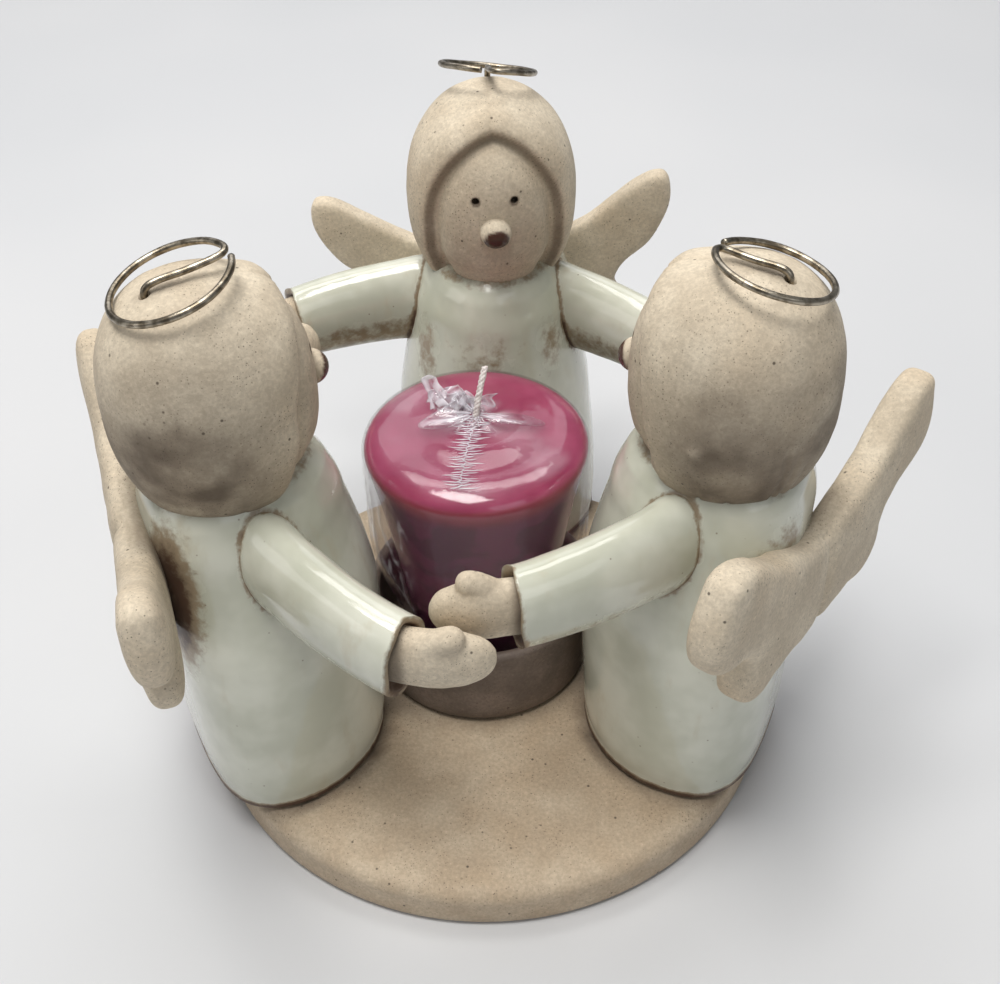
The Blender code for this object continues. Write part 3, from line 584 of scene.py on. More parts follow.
def glaze():
    """Pale celadon over dark clay, warmer in streaks, brown where it runs thin and as painted shade under
    the sleeves, with iron spots.
    """
    m = Nodes("celadon_glaze")
    streaks = m.noise(5.0, 4.0, 0.6, (1.0, 1.0, 0.35))
    # The attribute carries both the glaze's thin and bare edges and the painted shade under the sleeves
    edge = m.math("ADD", m.attribute("break_and_shade"), m.scale(m.noise(2.2, 4.0, 0.65), 0.9, -0.5))
    body = m.mix(m.ramp(m.noise(14.0, 3.0), 0.35, 0.68), CELADON, CELADON_PALE)
    body = m.paint(body, m.ramp(streaks, 0.55, 0.78), 0.45, CELADON_WARM)
    body = m.mix(m.ramp(edge, 0.18, 0.52), body, GLAZE_THIN_AND_SHADE)
    body = m.mix(m.ramp(edge, 0.52, 0.95), body, GLAZE_BARE_AND_SHADE)
    body = m.paint(body, m.specks(2.3, 0.03, 0.10), 0.6, GLAZE_SPOT)
    dull = m.scale(m.attribute("break_and_shade"), 0.55, 0.09)
    m.set(Base_Color=body, Roughness=m.math("ADD", m.scale(m.ramp(m.noise(3.0), 0.3, 0.75), 0.10), dull))
    m.set(IOR=1.52, Coat_Weight=0.35, Coat_Roughness=0.06)
    m.bump(m.noise(3.6, 2.0), 0.18, 0.22)
    return m.material


def wax():
    """Red wax, pinker on top, with painted shade: darker red on the shoulder and dark down the side."""
    m = Nodes("wax_red")
    # Painted shade of the wax, by how far down the side a point lies: dark and mottled down the side, darker
    # red on the shoulder
    down = m.attribute("side")
    side = m.mix(m.ramp(m.noise(11.0, 2.0), 0.46, 0.54), WAX_DEEP_SHADE, WAX_SIDE_SHADE)
    colour = m.mix(m.ramp(m.noise(6.0, 4.0), 0.35, 0.7), WAX_RED, WAX_PINK)
    colour = m.paint(colour, m.ramp(down, 0.0, 0.10), 0.85, WAX_SHOULDER_SHADE)
    colour = m.paint(colour, m.ramp(down, 0.12, 0.95), 0.96, side)
    m.set(Base_Color=colour, Roughness=m.scale(m.noise(1.5), 0.2, 0.32), Subsurface_Weight=0.1)
    m.set(Subsurface_Radius=(0.004, 0.0012, 0.0012), Subsurface_Scale=0.6)
    m.set(Coat_Weight=0.8, Coat_Roughness=0.07)
    m.bump(m.noise(3.0, 3.0), 0.10, 0.1)
    return m.material


def clear_film():
    """Thin clear film: its body hardly shows and is tinted purple-pink as a painted reflection, its gloss
    does show, and creases are cloudy by their attribute.
    """
    m = Nodes("shrink_film")
    crease = m.attribute("crease")
    # The purple-pink body is a painted reflection; creases turn the film white and cloudy
    colour = m.mix(m.ramp(crease, 0.02, 0.22), FILM_REFLECTION_TINT, FILM_WHITE)
    m.set(Base_Color=colour, Roughness=m.scale(m.noise(2.0), 0.06, 0.02), Alpha=m.scale(crease, 0.62, 0.15))
    m.set(IOR=1.5, Specular_IOR_Level=1.0, Coat_Weight=1.0, Coat_Roughness=0.03)
    m.bump(m.math("ADD", m.noise(7.0, 2.0), m.scale(m.noise(2.0, 2.0), 0.2)), 0.45, 0.6)
    return m.material


def metal():
    m = Nodes("antique_wire")
    colour = m.mix(m.ramp(m.noise(1.6, 4.0), 0.35, 0.65), WIRE_DARK, WIRE_PALE)
    colour = m.paint(colour, m.ramp(m.noise(0.5, 2.0), 0.6, 0.75), 0.6, WIRE_WORN)
    m.set(Base_Color=colour, Metallic=1.0, Roughness=m.scale(m.noise(0.9, 3.0), 0.25, 0.20))
    m.bump(m.noise(0.6, 3.0), 0.3, 0.05)
    return m.material


def cotton():
    m = Nodes("wick_cotton")
    colour = m.mix(m.ramp(m.noise(0.35, 3.0), 0.35, 0.65), COTTON_DARK, COTTON_PALE)
    m.set(Base_Color=colour, Roughness=0.9, Sheen_Weight=0.3)
    m.bump(m.noise(0.25, 2.0), 0.5, 0.06)
    return m.material


BISQUE = clay("bisque_clay", (0.74, 0.645, 0.50), (0.60, 0.51, 0.385), (0.69, 0.56, 0.40), 0.80)
BASE = clay("base_clay", (0.62, 0.51, 0.375), (0.51, 0.40, 0.28), (0.55, 0.41, 0.27), 0.58, 0.6)
CUP = clay("cup_clay", (0.26, 0.205, 0.17), (0.165, 0.128, 0.105), (0.23, 0.165, 0.12), 0.5, 0.7)
GLAZE = glaze()
WAX = wax()
FILM = clear_film()
METAL = metal()
COTTON = cotton()


# Base and cup


def make_base():
    """Round base: a soft upper edge, an uneven top, and brown staining with painted contact shade where the
    figures and the cup stand.
    """
    lip = 2.65
    profile = [(1.0, 0.0), (30.0, 0.0)]
    for inset, z in ((3.0, 0.0), (1.4, 0.0), (0.5, 0.35), (0.05, 1.1), (0.0, 2.2), (0.0, 4.2), (0.05, 5.8)):
        profile.append((BASE_R - inset, z))
    for a in np.linspace(0.0, math.pi / 2, 9):
        profile.append((BASE_R - 2.7 + lip * math.cos(a), BASE_H - lip + lip * math.sin(a)))
    profile += [(r, BASE_H) for r in (50.5, 48.0, *range(44, 16, -4), 14.0, 8.0, 3.0)]
    points, faces = turned(profile, 200)
    lift = 0.22 * fractal(points, 16.0, 3) + 0.05 * noise(points, 4.0, 5) - 0.30
    points[:, 2] += lift * smooth(points[:, 2], 3.0, 8.0)
    swell = (0.20 * fractal(points, 20.0, 9) - 0.22) / BASE_R * smooth(points[:, 2], 0.4, 2.5)
    points[:, :2] *= 1.0 + swell[:, None]
    front, back, side = robe_reach(FOOT)
    patches = 0.55 + 0.45 * noise(points, 5.0, 17)
    # Brown staining and painted contact shade in a ring round the cup and round each figure's foot
    soot = 0.6 * smooth(np.linalg.norm(points[:, :2] - RING, axis=1), 24.5, 22.2)
    for which in AZIMUTHS:
        x, y, _ = place(np.linalg.inv(figure_matrix(which)), points).T
        reach = np.where(y < 0.0, np.hypot(x / side, y / front), np.maximum(np.abs(x) / side, y / back))
        soot = np.maximum(soot, smooth(reach, 1.16, 1.03) * patches)
    add_turned("base_plate", BASE, points, faces, soot * smooth(points[:, 2], 6.0, 8.0))


def make_cup():
    """Low cup, faintly ringed on the outside."""
    wall_foot, wall_top, floor = FOOT + 1.2, FOOT + CUP_H - CUP_LIP, FOOT + CUP_FLOOR
    rim = CUP_R + CUP_FLARE - CUP_LIP
    inner = rim - CUP_LIP
    profile = [(2.0, FOOT), (14.0, FOOT), (CUP_R - 0.8, FOOT), (CUP_R - 0.2, FOOT + 0.4), (CUP_R, wall_foot)]
    for t in np.linspace(0.1, 1.0, 14):
        profile.append((CUP_R + CUP_FLARE * t, blend(wall_foot, wall_top, t)))
    for a in np.linspace(0.3, math.pi - 0.3, 7):
        profile.append((rim + CUP_LIP * math.cos(a), wall_top + CUP_LIP * math.sin(a)))
    for t in np.linspace(0.0, 1.0, 12):
        profile.append((inner - CUP_FLARE * t, blend(wall_top, floor + 1.5, t)))
    profile += [(inner - 1.1, floor + 0.5), (inner - 2.1, floor), (12.0, floor), (5.0, floor)]
    points, faces = turned(profile, 144, RING)
    away = points[:, :2] - RING
    radius = np.linalg.norm(away, axis=1)
    rows = 0.05 * np.sin(points[:, 2] * 2.6 + noise(points, 9.0, 2) * 1.5)
    rows += 0.10 * noise(points, 7.0, 4) - 0.14
    points[:, :2] += unit(away) * (rows * smooth(radius, 20.6, 21.2))[:, None]
    # Darker at the foot, and painted shade inside the wall, in the hollow
    soot = 0.7 * smooth(points[:, 2], FOOT + 2.0, FOOT) + 0.6 * smooth(radius, 19.9, 19.0)
    add_turned("candle_cup", CUP, points, faces, soot)


# Robe


def robe_reach(z):
    """(front, back, side) of the robe at a height, as in the solid."""
    if z <= BELLY_Z:
        t = max(0.0, (z - FOOT) / (BELLY_Z - FOOT))
        tuck = max(0.0, 1.0 - t * 5.0) ** 2
        return blend(FOOT_REACH, BELLY_REACH, np.array([eased(t), 1.0, t * t])) - tuck
    if z <= CHEST_Z:
        t = (z - BELLY_Z) / (CHEST_Z - BELLY_Z)
        return blend(BELLY_REACH, CHEST_REACH, np.array([t**1.3, 1.0, t]))
    return blend(CHEST_REACH, TOP_REACH, ((z - CHEST_Z) / (TOP_Z - CHEST_Z)) ** 1.6)


def robe_ring(z, steps, grow):
    """A ring of the robe, round in front and squarer behind, grown by a distance."""
    front, back, side = robe_reach(z) + grow
    across, along = np.cos(circle(steps)), np.sin(circle(steps))
    power = 2.0 / ROBE_SQUARE
    x = np.where(along <= 0.0, side * across, side * np.sign(across) * np.abs(across) ** power)
    y = np.where(along <= 0.0, front * along, back * np.abs(along) ** power)
    return np.column_stack([x, y, np.full(steps, z)])


def sleeve_distance(points, which, side):
    """Rough distance from points in the figure's frame to the skin of a sleeve, negative inside it."""
    path, ahead, *_ = arm(which, side)
    nearest = np.argmin(np.linalg.norm(points[:, None, :] - path[None], axis=2), axis=1)
    away = points - path[nearest]
    across = unit(np.cross(ahead, UP))
    upward = np.cross(across, ahead)
    high = np.linspace(*SLEEVE_HIGH, len(path))[nearest]
    deep, tall, behind = (np.sum(away * axis[nearest], axis=1) for axis in (across, upward, ahead))
    past_end = np.where((nearest == 0) & (behind < 0.0), 4.0 - 2.0 * behind, 0.0)
    return 7.0 * (np.hypot(deep / CUFF_DEEP, tall / high) - 1.0) + past_end


def make_robe(which, standing):
    """A glazed robe with a low collar and a bead at its foot, brown at edges, seams and spots."""
    seed = SEEDS[which]
    foot = FOOT + np.array([0.0, 0.4, 1.0])
    heights = np.concatenate([foot, np.linspace(FOOT + 2.0, 70.0, 56), np.linspace(70.6, 77.4, 13)])
    points, faces = capped([robe_ring(z, 160, -0.2) for z in heights])
    x, y, z = points.T
    skin = np.hypot(x, y) > 8.0
    collar = 0.16 * bell(z - 0.6 * noise(points, 9.0, seed), 71.6, 0.9) - 0.55 * np.maximum(z - 73.0, 0.0)
    bead = (0.55 + 0.25 * noise(points, 6.0, seed + 3)) * bell(z, FOOT + 0.5, 0.75)
    swell = (0.30 * fractal(points, 18.0, seed) + collar + bead) * skin
    points = points + outward(points) * swell[:, None]
    hem = z + 0.4 * noise(points, 4.0, seed + 4)
    brown = 0.42 * smooth(z, 72.6, 74.2) + 1.1 * smooth(hem, FOOT + 1.9, FOOT + 0.9)
    for side in SIDES:
        brown = np.maximum(brown, 0.56 * smooth(sleeve_distance(points, which, side), 1.0, 0.1) * skin)
    for spot_x, spot_y, spot_z, wide, tall, depth in ROBE_SPOTS[which]:
        spot = bell(x, spot_x, wide) * bell(y, spot_y, 1.3 * wide) * bell(z, spot_z, tall)
        brown = np.maximum(brown, depth * spot)
    add_glazed(f"{which}_robe_glaze", f"{which}_angel_robe", points, faces, standing, brown)


# Head, nose and halo


def head_radius(z, inset=0.0, power=HEAD_N):
    z = np.asarray(z, float)
    reach = np.where(z >= HEAD_C, HEAD_UP, HEAD_DOWN) - inset
    share = np.clip(np.abs(z - HEAD_C) / reach, 0.0, 1.0)
    return (HEAD_R - inset) * (1.0 - share**power) ** (1.0 / power)


def face_front(x, z):
    """How far forward the floor of the face lies, as a place on Y."""
    return -HEAD_FRONT * math.sqrt(max(head_radius(z, FACE_INSET) ** 2 - x**2, 0.0))


def head_crown():
    """Height of the head's top where the halo goes in."""
    return HEAD_C + HEAD_UP * (1.0 - (HALO_Y / HEAD_R) ** HEAD_N) ** (1.0 / HEAD_N)


def face_width(z):
    """Half the width of the face's arch at a height, 0 above its apex."""
    z = np.asarray(z, float)
    low = np.minimum(FACE_W, 0.82 * head_radius(z))
    rise = np.clip((z - FACE_SPRING) / (FACE_APEX - FACE_SPRING), 0.0, 1.0)
    return np.where(z <= FACE_SPRING, low, FACE_W * (1.0 - rise**2) ** 0.6)


def face_distance(x, z):
    """Signed distance to the arch's outline in the picture plane, positive inside the face."""
    arch = np.linspace(FACE_SPRING, FACE_APEX, 60)[1:]
    heights = np.concatenate([np.linspace(FACE_FOOT - 6.0, FACE_SPRING, 24), arch])
    line = np.column_stack([face_width(heights), heights])
    places = np.column_stack([np.abs(x), z])
    best = np.min([to_segment(places, a, b)[1] for a, b in zip(line[:-1], line[1:])], axis=0)
    return np.where((np.abs(x) < face_width(z)) & (z < FACE_APEX), best, -best)


def head_skin(which):
    """Points and faces of the head before its face is sunk, with more points in front."""
    behind = np.linspace(84.0, 276.0, 150)[1:-1]
    spread = np.radians(np.concatenate([np.linspace(-84.0, 84.0, 170), behind]))
    rings = []
    for rise in -np.cos(np.linspace(0.03, math.pi - 0.03, 150)):
        z = HEAD_C + rise * (HEAD_UP if rise >= 0.0 else HEAD_DOWN)
        r = float(head_radius(z, power=HEAD_TOPS[which] if rise >= 0.0 else HEAD_N))
        y = -r * np.cos(spread)
        y = np.where(y < 0.0, y * HEAD_FRONT, y)
        rings.append(np.column_stack([r * np.sin(spread), y, np.full(len(spread), z)]))
    return capped(rings)


def tool_marks(points):
    """Depth of the strokes down the right head's outer side, with a small nodule standing out."""
    x, y, z = points.T
    turn = np.degrees(np.arctan2(y, x))
    wander = 0.3 * noise(points, 5.0, 71)
    marks = -0.6 * bell(0.28 * (turn + 2.0), 0.0, 1.0) * bell(z, 84.0, 1.0)
    for at, top, deep in TOOL_MARKS:
        stroke = bell(0.25 * (turn - at) + wander, 0.0, 0.5)
        marks += deep * stroke * smooth(z, top, top - 3.0) * smooth(z, 64.0, 69.0)
    return marks


def head_relief(which, points):
    """How far each point goes in: the sunk face, its groove and rim, parting, chin and roughness."""
    seed = SEEDS[which]
    x, y, z = points.T
    d = np.where(y < 0.0, face_distance(x, z), -50.0) + 0.25 * noise(points, 5.0, seed)
    rim = bell(d, -2.6, 1.5) * (0.15 + 0.55 * smooth(z, 90.0, 102.0)) * (y < 0.0)
    parting = 0.28 * bell(x, 0.0, 0.55) * smooth(z, 102.5, 104.5) * (y < 4.0)
    chin = 0.5 * smooth(z, 79.5, 76.0) * (d > 0.0)
    rough = 0.13 * fractal(points, 9.0, seed + 1) + 0.05 * noise(points, 2.2, seed + 2)
    if which == "right":
        rough += tool_marks(points)
    return np.interp(d, FACE_STEPS, FACE_DEPTHS) - rim + parting + chin + rough + 0.16


def pin_mesh(start, end, radius):
    return make_mesh("pin", *capped(tube(resample([start, end], 4), radius, 20)))


def head_holes():
    """A scratch object of the pins that prick the eyes and the halo's hole."""
    pins = []
    for x in (EYE_X, -EYE_X):
        y = face_front(x, EYE_Z)
        pins.append(pin_mesh((x, y + 2.6, EYE_Z - 0.2), (x, y - 2.0, EYE_Z + 0.3), EYE_R))
    crown = head_crown()
    pins.append(pin_mesh((0.0, HALO_Y, crown - 5.2), (0.0, HALO_Y, crown + 3.0), HALO_HOLE_R))
    return linked("cutter", joined("cutter", pins))


def head_soot(which, points):
    """Stains and painted shade of the head: painted shade in the eyes, on the sunk face and in its groove, a
    stain at the parting, and darker towards the bottom and the back.
    """
    seed = SEEDS[which]
    x, y, z = points.T
    front = y < 0.0
    # Painted shade in the eye holes
    eyes = smooth(np.hypot(np.abs(x) - EYE_X, z - EYE_Z - 0.05), 1.0, 0.75) * front
    d = face_distance(x, z)
    # Painted shade on the sunk face, and deeper painted shade in the groove round it
    inside = smooth(d, -0.5, 0.15) * front
    groove = inside * smooth(d, 2.1, 1.1)
    stain = bell(x, 0.0, 1.6) * bell(y, 3.5, 4.0) * (z > 103.0)
    # Darker towards the bottom and the back, mottled
    lower_back_dark = smooth(z + 6.0 * fractal(points, 14.0, seed + 3), 107.5, 82.0) * smooth(y, -12.0, 4.0)
    lower_back_dark *= 0.85 + 0.55 * fractal(points, 5.0, seed + 4)
    return eyes + 0.13 * inside + 0.55 * groove + 0.55 * stain + (0.14 if which == "rear" else 0.92) * lower_back_dark


def make_head(which, facing):
    points, faces = head_skin(which)
    inward = -unit((points - [0.0, 0.0, HEAD_C]) * [1.0, 1.0, 0.4])
    mesh = make_mesh("head", points + inward * head_relief(which, points)[:, None], faces)
    cutter = head_holes()
    mesh = modified(mesh, [("BOOLEAN", {"object": cutter, "operation": "DIFFERENCE", "solver": "EXACT"})])
    bpy.data.objects.remove(cutter)
    p = mesh_points(mesh)
    add_bisque(f"{which}_head_clay", [f"{which}_angel_head"], mesh, p, facing, head_soot(which, p))


def make_nose(which, facing):
    """A bead with an iron tip, which is smaller on the face that shows."""
    form = bmesh.new()
    bmesh.ops.create_uvsphere(form, u_segments=36, v_segments=24, radius=1.0)
    mesh = bpy.data.meshes.new("nose")
    form.to_mesh(mesh)
    form.free()
    n = mesh_points(mesh) * MM
    radius = NOSE_R + 0.05 * noise(n * 3.0, 2.0, SEEDS[which])
    points = np.array([0.0, face_front(0.0, NOSE_Z), NOSE_Z]) + n * [1.0, 1.0, 0.97] * radius[:, None]
    tip = n @ unit(np.array([0.05, -0.90, -0.32])) + 0.05 * noise(n * 4.0, 1.0, 5)
    iron = smooth(tip, 0.56, 0.68) if which == "rear" else smooth(tip, 0.25, 0.40)
    # Painted shade on the half of the bead that meets the face
    soot = 0.5 * smooth(n[:, 1], -0.45, 0.1)
    add_bisque(f"{which}_nose_clay", [f"{which}_angel_nose"], mesh, points, facing, soot, iron)


def make_halo(which, facing):
    """One bent wire: up out of the head, forward, and once round."""
    radius, lift, roll, lean, forward = HALOS[which]
    tilt = Matrix.Rotation(math.radians(roll), 3, "Y") @ Matrix.Rotation(math.radians(lean), 3, "X")
    crown = head_crown()
    middle = np.array([0.0, HALO_Y - forward, crown + lift - 0.06])

    def on_ring(angle, r=radius):
        return middle + np.array(tilt) @ [r * math.sin(angle), -r * math.cos(angle), 0.0]

    start, end = 1.6 / radius, 2.0 * math.pi - 1.8 / radius
    stem = [np.array([0.0, HALO_Y, crown + rise]) for rise in (-5.0, -0.5, 1.2)]
    front = on_ring(0.0, radius - 1.6)
    lead = [blend(stem[-1], front, 0.14) + 0.6 * UP, blend(stem[-1], front, 0.6), front]
    ring = [on_ring(a) for a in np.linspace(start, end, 64)]
    path = resample(rounded(stem + lead + [on_ring(0.3 * start, radius - 0.48)] + ring, 2), 190)
    path += 0.06 * wobble(path, 4.0, (1, 2, 3))
    points, faces = capped(tube(path, WIRE_R + 0.03 * noise(path, 3.0, 8), 12))
    mesh = make_mesh("halo", place(facing, points), faces)
    add_piece(f"{which}_halo_wire", mesh, METAL, [f"{which}_angel_halo"])


# Wings


def wing_outline(which):
    """(sideways, height) knots of a wing, from its root's top round tip and notch to the root's foot."""
    bulge, tip, lead = WING_BULGES[which], WING_TIPS[which], WING_LEADS[which]
    notch_x, notch_z = WING_NOTCH
    lower_x, lower_z = WING_LOWER
    cut_z = lower_z - 0.5 * WING_CUT
    return [
        (-WING_OVERLAP, WING_ROOT_TOP),
        (0.4 * WING_REACH, blend(WING_ROOT_TOP, WING_TOP, lead)),
        (WING_REACH - 0.8 * tip, WING_TOP - 0.15 * tip),
        (WING_REACH, WING_TOP - tip),
        (blend(notch_x, WING_REACH, 0.78) + bulge, blend(notch_z, WING_TOP, 0.45) - 0.5 * bulge),
        WING_NOTCH,
        (lower_x + 1.5, blend(lower_z, notch_z, 0.6)),
        WING_LOWER,
        (lower_x - WING_CUT, cut_z),
        (0.45 * lower_x, blend(WING_ROOT_FOOT, cut_z, 0.3)),
        (-WING_OVERLAP, WING_ROOT_FOOT),
    ]


def wing_slab(which, side):
    """A thick slab of the wing's outline, standing in the XZ plane."""
    curve = bpy.data.curves.new("wing", "CURVE")
    curve.dimensions = "2D"
    curve.fill_mode = "BOTH"
    curve.extrude = 0.0016
    curve.bevel_depth = 0.0015
    curve.bevel_resolution = 4
    curve.offset = -0.0015
    curve.resolution_u = 10
    outline = wing_outline(which)
    spline = curve.splines.new("BEZIER")
    spline.use_cyclic_u = True
    spline.bezier_points.add(len(outline) - 1)
    for i, (reach, height) in enumerate(outline):
        knot = spline.bezier_points[i]
        knot.co = (reach * MM, height * MM, 0.0)
        knot.handle_left_type = knot.handle_right_type = "VECTOR" if i in (0, len(outline) - 1) else "AUTO"
    mesh = frozen(linked("wing", curve))
    mesh.transform(Matrix.Rotation(math.radians(90.0), 4, "X"))
    if side < 0:
        mesh.transform(Matrix.Scale(-1.0, 4, Vector((1.0, 0.0, 0.0))))
        mesh.flip_normals()
    clean(mesh, 0.00002)
    return mesh


def swollen(points, edge, middle):
    """Points of a slab in the XZ plane, its half thickness made edge at the outline and middle inside."""
    rim = points[np.abs(points[:, 1]) < 0.35]
    tree = KDTree(len(rim))
    for i, (x, _, z) in enumerate(rim):
        tree.insert((x, z, 0.0), i)
    tree.balance()
    inside = np.array([tree.find((x, z, 0.0))[2] for x, _, z in points])
    share = np.sqrt(1.0 - (1.0 - np.clip(inside / WING_ROUND, 0.0, 1.0)) ** 2)
    points[:, 1] *= blend(edge, middle, share) / WING_SLAB
    return points


def make_wings(which, standing):
    """Both wings as one piece of clay, creased down the spine, thicker in the middle of each wing."""
    seed = SEEDS[which]
    mesh = run_together("wings", [wing_slab(which, side) for side in SIDES], WING_VOXEL, 8)
    set_points(mesh, swollen(mesh_points(mesh), WING_EDGES[which], WING_SWELLS[which]))
    p, n = mesh_points(mesh), mesh_normals(mesh)
    crease = -0.9 * bell(p[:, 0], 0.0, 1.3) * (n[:, 1] > 0.2)
    lumps = 0.35 * fractal(p, 13.0, seed + 5) + 0.07 * noise(p, 3.0, seed + 6)
    p += n * (crease + lumps - 0.15)[:, None]
    pivot = WING_PIVOT_Z * UP
    roll = np.array(Matrix.Rotation(math.radians(WING_ROLLS[which]), 3, "Y"))
    p = (p - pivot) @ roll.T + pivot
    spine = rot_z(WING_TURNS[which])
    spine[:3, 3] = (0.0, WING_BACK, WING_LIFTS[which])
    # Painted shade near the spine, on the faces that turn towards the robe
    soot = 0.55 * smooth(np.abs(p[:, 0]), 13.0, 8.0) * smooth(n[:, 1], 0.3, -0.3)
    nodes = [f"{which}_angel_wing_{TAGS[side]}" for side in SIDES]
    add_bisque(f"{which}_wings_clay", nodes, mesh, p, standing @ spine, soot)


# Sleeves and hands


def arm(which, side):
    """A sleeve's line and directions in the figure's frame, and the hand's tip, course and thin side."""
    other = NEIGHBOURS[which][SIDES.index(side)]
    step = (AZIMUTHS[other] - AZIMUTHS[which] + 180.0) % 360.0 - 180.0
    a = math.radians(AZIMUTHS[which] + step / 2)
    out = np.array([math.cos(a), math.sin(a), 0.0])
    along = np.array([-out[1], out[0], 0.0]) * math.copysign(1.0, step)
    away = (out * HANDS_OUT - UP * HANDS_DROP) * -side
    meeting = np.array([*RING, HANDS_Z]) + HANDS_R * out + away
    local = np.linalg.inv(figure_matrix(which))
    cuff, tip = place(local, [meeting - along * HAND_SHOWS[side], meeting + along * HAND_PAST[side]])
    shoulder = np.array([side * SHOULDER_X, 0.0, SHOULDER_Z])
    elbow = blend(shoulder, cuff, ELBOW_AT) + [side * ELBOW_OUT, ELBOW_OUT, 0.0]
    path, ahead = bent_line(shoulder, elbow, cuff, np.linspace(0.0, 1.0, 60))
    turn = local[:3, :3]
    return path, ahead, tip, turn @ along, unit(turn @ away)


def make_sleeve(which, side, standing):
    """An oval sleeve to a wavy cuff whose lip turns in, brown at the lip and at the robe, with painted shade
    in brown underneath.
    """
    tag = TAGS[side]
    seed = SEEDS[which] + 3 * side
    steps = 64
    path, ahead, *_ = arm(which, side)
    cuff, course = path[-1], ahead[-1]

    def ring(point, go, deep, high):
        across = unit(np.cross(go, UP))
        return oval(point, across, np.cross(across, go), deep, high, steps)

    shares = np.linspace(0.0, 1.0, len(path))
    rings = []
    for point, go, t in zip(path, ahead, shares):
        flare = 0.27 * max(0.0, 1.0 - abs(t - 0.22) / 0.12) - SLEEVE_SKIN
        rings.append(ring(point, go, blend(*SLEEVE_DEEP, t) + flare, blend(*SLEEVE_HIGH, t) + flare))
    for past, less, _ in CUFF_LIP:
        rings.append(ring(cuff + course * past, course, CUFF_DEEP - less, CUFF_HIGH - less))
    points, faces = capped(rings)
    shares = np.append(shares, np.ones(len(CUFF_LIP)))
    a = circle(steps)
    wave = 0.28 * np.sin(2.0 * a + seed) + 0.17 * np.sin(5.0 * a + 2.0 * seed) - 0.1
    points[:-2] += np.outer(np.outer(smooth(shares, 0.93, 1.0), wave), course)
    spine = np.vstack([path, np.tile(cuff, (len(CUFF_LIP), 1))])
    out = unit(points - np.vstack([np.repeat(spine, steps, axis=0), path[0], cuff]))
    outside = np.append(np.repeat(shares < 1.0, steps), [False, False])
    points += out * np.where(outside, 0.22 * fractal(points, 11.0, seed) - 0.1, 0.0)[:, None]
    edge = np.append(0.48 * smooth(shares[: len(path)], 0.965, 0.998), [brown for *_, brown in CUFF_LIP])
    edge = np.append(np.repeat(edge, steps), edge[[0, -1]])
    x, y, z = points.T
    front, back, across = np.array([robe_reach(height) for height in np.clip(z, FOOT, 77.0)]).T
    proud = 17.0 * (np.hypot(x / across, y / np.where(y < 0.0, front, back)) - 1.0)
    depth, start, full = UNDERSIDE_SHADE[which]
    # Brown at the lip and where the sleeve meets the robe, and painted shade on the underside
    brown = np.maximum(edge, 0.60 * smooth(proud, 1.1, 0.2)) + depth * smooth(out[:, 2], start, full)
    add_glazed(f"{which}_sleeve_{tag}_glaze", f"{which}_angel_sleeve_{tag}", points, faces, standing, brown)


def make_hand(which, side, standing):
    """A mitten whose wrist lies in the cuff, with a thumb along its upper side and a crease beside it."""
    tag = TAGS[side]
    seed = SEEDS[which] + 5 * side
    path, ahead, tip, along, thin = arm(which, side)
    cuff, course = path[-1], ahead[-1]
    shares = np.linspace(0.0, 0.995, 40)
    knots = [0.0, 0.16, 0.34, 0.58, 0.76, 0.90, 0.96, 0.995]
    widths = HAND_WIDE * np.interp(shares, knots, [0.96, 0.96, 0.97, 1.0, 0.92, 0.72, 0.52, 0.22])
    depths = HAND_THICK * np.interp(shares, knots, [1.05, 1.04, 1.0, 1.0, 0.92, 0.72, 0.52, 0.22])
    rings = []
    line = zip(*bent_line(cuff - course * WRIST_IN, cuff + course * HAND_BEND, tip, shares))
    for (point, go), wide, deep in zip(line, widths, depths):
        across = unit(np.cross(go, thin))
        rings.append(oval(point, across, np.cross(across, go), wide, deep, 48))
    palm = make_mesh("palm", *capped(rings))
    thumb_side = np.cross(along, thin)
    thumb_side *= np.sign(thumb_side[2])
    thumb_up = unit(thumb_side + thin * 0.12)
    base, end = (blend(cuff, tip, t) + thumb_up * rise for t, rise in zip(THUMB_SHARES, THUMB_RISES))
    t = np.linspace(0.0, 1.0, 16)
    spine = base + np.outer(t, end - base) + np.outer(THUMB_BOW * np.sin(math.pi * t), thumb_up)
    swell = [2.2, 2.3, 2.3, 2.25, 2.2, 2.15, *[2.1] * 6, 2.0, 1.8, 1.4, 0.7]
    thumb = make_mesh("thumb", *capped(tube(spine, swell, 20)))
    mesh = run_together("hand", [palm, thumb], HAND_VOXEL, 7)
    p, n = mesh_points(mesh), mesh_normals(mesh)
    t, near = to_segment(p, base, end)
    fold = bell(near, 2.75, 0.4) * smooth(t, 0.25, 0.6) * smooth((tip - p) @ thumb_side, -3.6, -2.6)
    # Painted shade on the wrist inside the cuff and in the crease beside the thumb
    soot = 0.8 * smooth((p - cuff) @ along, 0.8, -1.2) + 0.45 * fold
    p = p + n * (0.14 * fractal(p, 5.0, seed) + 0.05 * noise(p, 1.5, seed + 1) - 0.35 * fold)[:, None]
    soot += 0.15 * smooth(noise(p, 6.0, seed + 2), 0.2, 0.8)
    add_bisque(f"{which}_hand_{tag}_clay", [f"{which}_angel_hand_{tag}"], mesh, p, standing, soot)


# Candle, wick and film, which lift out together


def candle_radius(share):
    return blend(CANDLE_FOOT_R, CANDLE_TOP_R, share) - CANDLE_WAIST * share * (1.0 - share)


